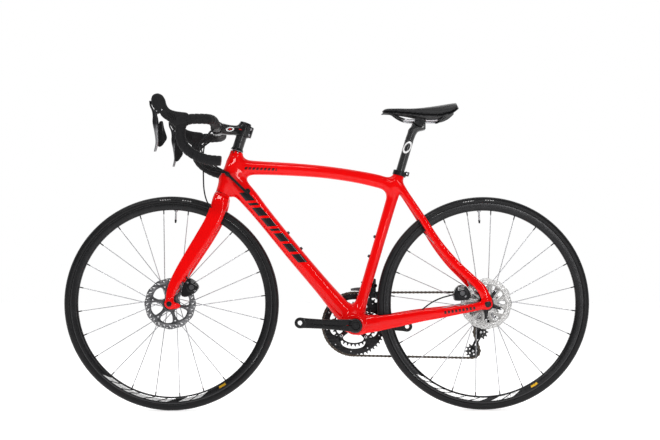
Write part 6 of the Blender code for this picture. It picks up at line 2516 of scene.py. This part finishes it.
def build_cassette():
    cogs = (11, 12, 13, 14, 15, 17, 19, 21, 24, 27, 30)
    smallest = CHAIN_Y + cogs.index(17) * COG_PITCH
    plates, black = [], []
    for i, teeth in enumerate(cogs):
        y = smallest - i * COG_PITCH
        radius = pitch_radius(teeth)
        gap = PHASES[0] if teeth == 17 else 0.13 * i
        holes = [circle((0, 0), 0.0165, 32)]
        if teeth >= 19:
            number = 6 if teeth < 24 else 8
            for k in range(number):
                a = 2 * math.pi * k / number + 0.2 * i
                mid = (0.0185 + radius - 0.0065) / 2
                half = (radius - 0.0065 - 0.0195) / 2
                if half > 0.0025:
                    ovals = np.linspace(0, 2 * math.pi, 12, endpoint=False)
                    holes.append(
                        [
                            turned(mid + half * math.cos(b), half * 0.8 * math.sin(b), a)
                            for b in ovals
                        ]
                    )
        outline = toothed((0, 0), teeth, gap, 0.004, 0.0026 if teeth == 17 else 0.0022)
        plates.append(plate([outline, *holes], y - 0.0008, y + 0.0008, 0.00015))
        black.append(
            lathe(
                [
                    (0.016, y - 0.0029), (0.0178, y - 0.0029), (0.0178, y - 0.0009),
                    (0.016, y - 0.0009)
                ],
                REAR,
                steps=40
            )
        )
    black.append(
        lathe(
            [
                (0.0064, 0.069), (0.012, 0.0692), (0.014, 0.069), (0.0168, 0.0688), (0.0168, 0.068),
                (0.0064, 0.068)
            ],
            REAR,
            steps=48
        )
    )
    core = lathe(
        [(0.0064, 0.0268), (0.0165, 0.0268), (0.0165, 0.0682), (0.0064, 0.0682)], REAR, steps=48
    )
    shade = metal("cog_steel", (0.62, 0.61, 0.6), 0.28)
    piece("cassette_cogs", plates, shade, "cassette", ("cassette",), angle=40)
    piece("cassette_spacers", black, ALLOY_BLACK, "cassette", angle=40)
    piece("cassette_core", core, DARK_STEEL, "cassette", angle=40)
    feet = [round_axle(REAR, 0.012, 2 * math.pi * k / 12, 0.0683) for k in range(12)]
    lock = [rod(foot, foot + Y * 0.001, 0.0012, 8) for foot in feet]
    piece("cassette_lockring_teeth", lock, SILVER, "cassette", angle=40)


def link_field(first, second, y_mid, radius, z_low, z_high):
    body = f_join(
        0.002,
        f_rod((first[0], y_mid, z_low), (first[0], y_mid, z_high), radius, edge=0.0012),
        f_rod((second[0], y_mid, z_low), (second[0], y_mid, z_high), radius, edge=0.0012)
    )
    bar = f_box(
        ((first[0] + second[0]) / 2, y_mid, (z_low + z_high) / 2),
        (abs(first[0] - second[0]) / 2, radius * 0.75, (z_high - z_low) / 2 - 0.0006),
        0.0015
    )
    return f_join(0.003, body, bar)


RD_REAR, RD_FRONT = (0.026, -0.054), (-0.019, -0.054)
RD_TOP, RD_LOW = -0.0465, -0.0615
RD_LINKS = (("outer", 0.09), ("inner", 0.076))
RD_BLACK = gloss_black("derailleur_black", 0.3)


def build_hanger():
    hanger = f_join(
        0.006,
        f_pin((0, 0), 0.0791, 0.0834, 0.0118, 0.001),
        f_pin((0.008, -0.03), 0.0791, 0.0834, 0.008, 0.001),
        f_box((0.0042, 0.08125, -0.015), (0.0062, 0.0021, 0.013), 0.001, math.radians(-14))
    )
    hanger = f_cut(0.0005, hanger, f_pin((0, 0), 0.07, 0.09, 0.0065, 0.0003))
    small_field(
        "hanger_plate", hanger, "derailleur_hanger", 0.0008, ALLOY_BLACK, "frame"
    )


def rd_ears(x):
    """The two lugs that a pair of link pins goes through."""
    return [
        f_box((x, 0.083, z), (0.0046, 0.0115, 0.0013), 0.0012)
        for z in (RD_TOP + 0.0017, RD_LOW - 0.0017)
    ]


def rd_pins(x):
    return [
        rod((x, y, RD_LOW - 0.0036), (x, y, RD_TOP + 0.0036), 0.0017, 16, dome=0.0004)
        for _, y in RD_LINKS
    ]


def build_rd_body():
    body = f_join(
        0.004,
        f_pin((0.008, -0.03), 0.084, 0.093, 0.009, 0.002),
        f_ball((0.01, 0.0885, -0.031), (RD_REAR[0] + 0.003, 0.0865, -0.0425), 0.0072, 0.0052),
        f_box((RD_REAR[0] + 0.0064, 0.083, -0.054), (0.0016, 0.0108, 0.0108), 0.0012),
        *rd_ears(RD_REAR[0])
    )
    small_field("rd_body_shell", body, "rd_body", 0.0009, RD_BLACK, "frame", grow=0.002)
    bolts_piece("rd_mount_bolt", bolt((0.008, 0.0925, -0.03), Y, 0.0056, 0.0022, 0.5), "frame")
    piece("rd_body_pins", rd_pins(RD_REAR[0]), BOLT_STEEL, "frame")


def build_rd_links():
    for name, y in RD_LINKS:
        field = link_field(RD_REAR, RD_FRONT, y, 0.004, RD_LOW, RD_TOP)
        field = f_cut(
            0.0003,
            field,
            *[
                f_rod((x, y, RD_LOW - 0.002), (x, y, RD_TOP + 0.002), 0.002, edge=0.0002)
                for x in (RD_REAR[0], RD_FRONT[0])
            ]
        )
        small_field(
            f"rd_link_{name}_arm", field, f"rd_link_{name}", 0.0007, RD_BLACK, f"rd_link_{name}"
        )
    piece(
        "rd_link_badge",
        plate(
            [
                rounded(
                    [(-0.012, -0.0585), (0.02, -0.0585), (0.02, -0.0495), (-0.012, -0.0495)], 4, 0.2
                )
            ],
            0.0928,
            0.0936,
            0.0002
        ),
        SILVER,
        "rd_link_outer",
        angle=40
    )


def build_rd_knuckle():
    knuckle = f_join(
        0.004,
        f_box((RD_FRONT[0] - 0.0064, 0.083, -0.054), (0.0016, 0.0108, 0.0108), 0.0012),
        f_ball((RD_FRONT[0] - 0.0015, 0.0795, -0.0675), (-0.01, 0.074, -0.08), 0.0056, 0.0075),
        f_ball((-0.01, 0.074, -0.08), (0.0, 0.0665, -0.0935), 0.0075, 0.0085),
        f_pin((0, -0.0935), 0.0562, 0.0698, 0.0108, 0.002),
        *rd_ears(RD_FRONT[0])
    )
    small_field(
        "rd_knuckle_shell", knuckle, "rd_knuckle", 0.0009, RD_BLACK, "rd_knuckle", grow=0.002
    )
    piece("rd_knuckle_pins", rd_pins(RD_FRONT[0]), BOLT_STEEL, "rd_knuckle")
    bolts_piece("rd_knuckle_cap", bolt((0, 0.0696, -0.0935), Y, 0.0075, 0.0014, 0.45), "rd_knuckle")


def build_rd_cage():
    guide, tension = (GUIDE.x, GUIDE.z), (TENSION.x, TENSION.z)
    way = np.array(tension) - np.array(guide)
    reach = np.linalg.norm(way)
    way /= reach
    cross = np.array((-way[1], way[0]))

    def cage_outline(first, last, waist):
        found = []
        turn = math.atan2(way[1], way[0])
        for i in range(10):
            t = turn + math.pi / 2 + math.pi * i / 9
            found.append(on_circle(guide, first, t))
        mid = np.array(guide) + way * reach * 0.5
        found.append(tuple(mid - cross * waist))
        for i in range(10):
            t = turn - math.pi / 2 + math.pi * i / 9
            found.append(on_circle(tension, last, t))
        found.append(tuple(mid + cross * waist))
        return found

    slot_mid = np.array(guide) + way * reach * 0.55
    window = [
        tuple(slot_mid + way * a + cross * b)
        for a, b in ((-0.014, -0.003), (0.014, -0.003), (0.014, 0.003), (-0.014, 0.003))
    ]
    outer = plate(
        [cage_outline(0.0108, 0.0088, 0.0072), rounded(window, 5, 0.3)],
        CHAIN_Y + 0.0043,
        CHAIN_Y + 0.0061,
        0.0004
    )
    inner = plate(
        [
            cage_outline(0.0085, 0.0085, 0.0052),
            rounded([tuple(slot_mid + (np.array(w) - slot_mid) * 0.8) for w in window], 5, 0.3)
        ],
        CHAIN_Y - 0.0059,
        CHAIN_Y - 0.0043,
        0.0004
    )
    axles = []
    for p in (guide, tension):
        axles.append(rod((p[0], CHAIN_Y - 0.006, p[1]), (p[0], CHAIN_Y + 0.006, p[1]), 0.0025, 16))
    piece(
        "rd_cage_plates", [outer, inner], RD_BLACK, "rd_cage", ("rd_cage",),
        angle=40
    )
    bolts_piece("rd_cage_axles", axles, "rd_cage")
    heads = [bolt((x, CHAIN_Y - 0.0058, z), -Y, 0.004, 0.0016) for x, z in (tension, guide)]
    bolts_piece("rd_cage_bolts", heads, "rd_cage")


def build_pulleys():
    for name, axle, phase in (("guide", GUIDE, PHASES[3]), ("tension", TENSION, PHASES[2])):
        p = (axle.x, axle.z)
        holes = [circle(p, 0.005, 24)]
        for k in range(5):
            holes.append(circle(on_circle(p, 0.0115, 2 * math.pi * k / 5), 0.0026, 12))
        wheel = plate(
            [toothed(p, 11, phase, 0.004, 0.0024), *holes], CHAIN_Y - 0.001, CHAIN_Y + 0.001, 0.0002
        )
        shade = Shade(f"{name}_nylon", (0.02, 0.02, 0.022), 0.5)
        shade.vary_roughness(shade.noise(300.0, 3.0), 0.4, 0.62)
        shade.bump(shade.noise(900.0, 2.0), 0.00004, 0.3)
        piece(
            f"{name}_pulley_wheel", wheel, shade, f"{name}_pulley", (f"{name}_pulley",),
            angle=40
        )
        bush = lathe(
            [(0.0027, -0.003), (0.0056, -0.003), (0.0056, 0.003), (0.0027, 0.003)],
            Vector((p[0], CHAIN_Y, p[1])),
            steps=32
        )
        piece(f"{name}_pulley_bush", bush, SILVER, f"{name}_pulley", angle=40)


def build_rd_housing():
    loop = smooth_path(
        [
            (-0.06, 0.08, -0.012), (-0.02, 0.088, -0.008), (0.03, 0.089, -0.002),
            (0.058, 0.089, -0.02), (0.056, 0.088, -0.045), (0.036, 0.086, -0.052)
        ],
        60
    )
    piece("rd_cable_housing", sweep(loop, 0.0022, 14), RUBBER, "frame")


def build_front_derailleur():
    plastic = gloss_black("front_derailleur_black", 0.32)
    place = np.array((BB.x, BB.z))
    base = pitch_radius(50) + 0.0058

    def band(low, high, first, last, steps=16, taper=0.0):
        one = [on_circle(place, low, t) for t in np.linspace(first, last, steps)]
        two = []
        for share in np.linspace(1, 0, steps):
            t = first + (last - first) * share
            r = high - taper * max(0.0, share - 0.35)
            two.append(on_circle(place, r, t))
        return one + two

    first, last = math.radians(46.5), math.radians(95.5)
    inner = plate(
        [rounded(band(base, base + 0.0185, first, last, 16, 0.017), 2, 0.2)],
        CHAIN_Y - 0.0061,
        CHAIN_Y - 0.0047,
        0.0004
    )
    outer = plate(
        [rounded(band(base + 0.001, base + 0.017, first, last, 16, 0.016), 2, 0.2)],
        CHAIN_Y + 0.0047,
        CHAIN_Y + 0.0059,
        0.0004
    )
    top = plate(
        [band(base + 0.0055, base + 0.0075, math.radians(88), last, 6)],
        CHAIN_Y - 0.0052,
        CHAIN_Y + 0.0052,
        0.0004
    )
    back = plate(
        [band(base + 0.015, base + 0.018, first, math.radians(50), 4)],
        CHAIN_Y - 0.0052,
        CHAIN_Y + 0.0052,
        0.0004
    )
    shade = metal("fd_cage_steel", (0.12, 0.12, 0.125), 0.35)
    piece(
        "fd_cage_plates", [inner, outer, top, back], shade, "fd_cage", ("fd_cage",),
        angle=40
    )
    block = f_join(
        0.004,
        f_box((-0.35, 0.0285, 0.0475), (0.0112, 0.005, 0.031), 0.004),
        f_ball((-0.343, 0.008, 0.056), (-0.345, 0.027, 0.056), 0.0068),
        f_pin((-0.35, 0.07), 0.0235, 0.0338, 0.008, 0.0015),
        f_pin((-0.35, 0.027), 0.0235, 0.0338, 0.0085, 0.0015)
    )
    block = f_cut(0.0015, block, f_box((-0.35, 0.0345, 0.048), (0.005, 0.002, 0.014), 0.001))
    small_field("fd_bracket_shell", block, "fd_bracket", 0.001, plastic, "frame", grow=0.002)
    bolts_piece(
        "fd_bolts",
        [
            bolt((-0.35, 0.0322, 0.07), Y, 0.0038, 0.0016),
            bolt((-0.35, 0.0322, 0.027), Y, 0.0042, 0.0016)
        ],
        "frame"
    )


CALIPERS = (  # name, body, axle, side outline, piston's place, turn of the cooling fins
    (
        "front",
        "steering",
        FRONT,
        [
            (-0.95, 0.024), (-0.934, 0.02), (-0.905, 0.034), (-0.893, 0.052), (-0.903, 0.07),
            (-0.922, 0.081), (-0.931, 0.078), (-0.944, 0.056)
        ],
        (-0.9165, 0.051),
        0.55
    ),
    (
        "rear",
        "frame",
        REAR,
        [
            (-0.1, 0.008), (-0.054, 0.012), (-0.049, 0.03), (-0.062, 0.052), (-0.082, 0.06),
            (-0.096, 0.05), (-0.103, 0.03)
        ],
        (-0.076, 0.033),
        -0.2
    )
)


def build_calipers():
    shade = gloss_black("caliper_black", 0.3)
    for name, body, axle, outline, (fx, fz), turn in CALIPERS:
        node = f"{name}_caliper"
        low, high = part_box(node)
        mid = (low.y + high.y) / 2
        field = f_plate(rounded(outline, 3, 0.3), low.y, high.y, 0.003)
        piston = f_pin((fx, fz), low.y - 0.0002, high.y + 0.0002, 0.0135, 0.002)
        field = f_join(0.003, field, piston)
        cuts = [f_pin(axle, mid - 0.0023, mid + 0.0023, 0.0815, 0.0004)]
        cuts.append(f_pin((fx, fz), low.y - 0.004, low.y + 0.0016, 0.0082, 0.0005))
        for k in (-1, 0, 1):
            cuts.append(
                f_box(
                    (fx + 0.0135 * math.sin(turn), mid, fz + 0.015 + 0.0045 * k),
                    (0.012, 0.02, 0.0008),
                    0.0004,
                    turn
                )
            )
        field = f_cut(0.0008, field, *cuts)
        small_field(
            f"{name}_caliper_body", field, node, 0.0011, shade, body, grow=0.002
        )
        disc = solid_turn(
            [
                (0, 0.0006), (0.005, 0.0006), (0.0056, 0.0), (0.0078, 0.0), (0.0078, 0.0014),
                (0, 0.0014)
            ],
            Vector((fx, low.y + 0.0002, fz)),
            Y,
            40
        )
        piece(f"{name}_caliper_cap", disc, DARK_STEEL, body, angle=35)
        pads = []
        for s in (-1, 1):
            pads.append(
                plate(
                    [
                        rounded(
                            [
                                (fx - 0.012, fz - 0.008), (fx + 0.01, fz - 0.008),
                                (fx + 0.012, fz + 0.008), (fx - 0.01, fz + 0.01)
                            ],
                            3,
                            0.25
                        )
                    ],
                    mid + s * 0.0016 - 0.0005,
                    mid + s * 0.0016 + 0.0005,
                    0.0001
                )
            )
        piece(f"{name}_pads", pads, DARK_STEEL, body, angle=40)
        tops = []
        for dx, dz in ((-0.012, 0.014), (0.01, -0.01)):
            tops.append(bolt((fx + dx, low.y + 0.0008, fz + dz), -Y, 0.0028, 0.0016))
        piece(f"{name}_caliper_bolts", tops, BOLT_STEEL, body, angle=40)


build_frame()
build_bottle_bosses()
build_plugs()
build_fork()
build_floor()
build_world()
build_lights()
build_camera()
build_wheels()
build_axles()
build_chain()
build_rings()
build_cranks()
build_bottom_bracket()
build_cassette()
build_hanger()
build_rd_body()
build_rd_links()
build_rd_knuckle()
build_rd_cage()
build_pulleys()
build_rd_housing()
build_front_derailleur()
build_calipers()
build_stem()
build_stem_bolts()
build_top_cap()
build_spacers()
build_headset_cover()
build_bar()
build_hoods()
build_brake_levers()
build_shift_paddles()
build_cables()
build_post()
build_collar()
build_cradle()
build_saddle()
build_bearings()
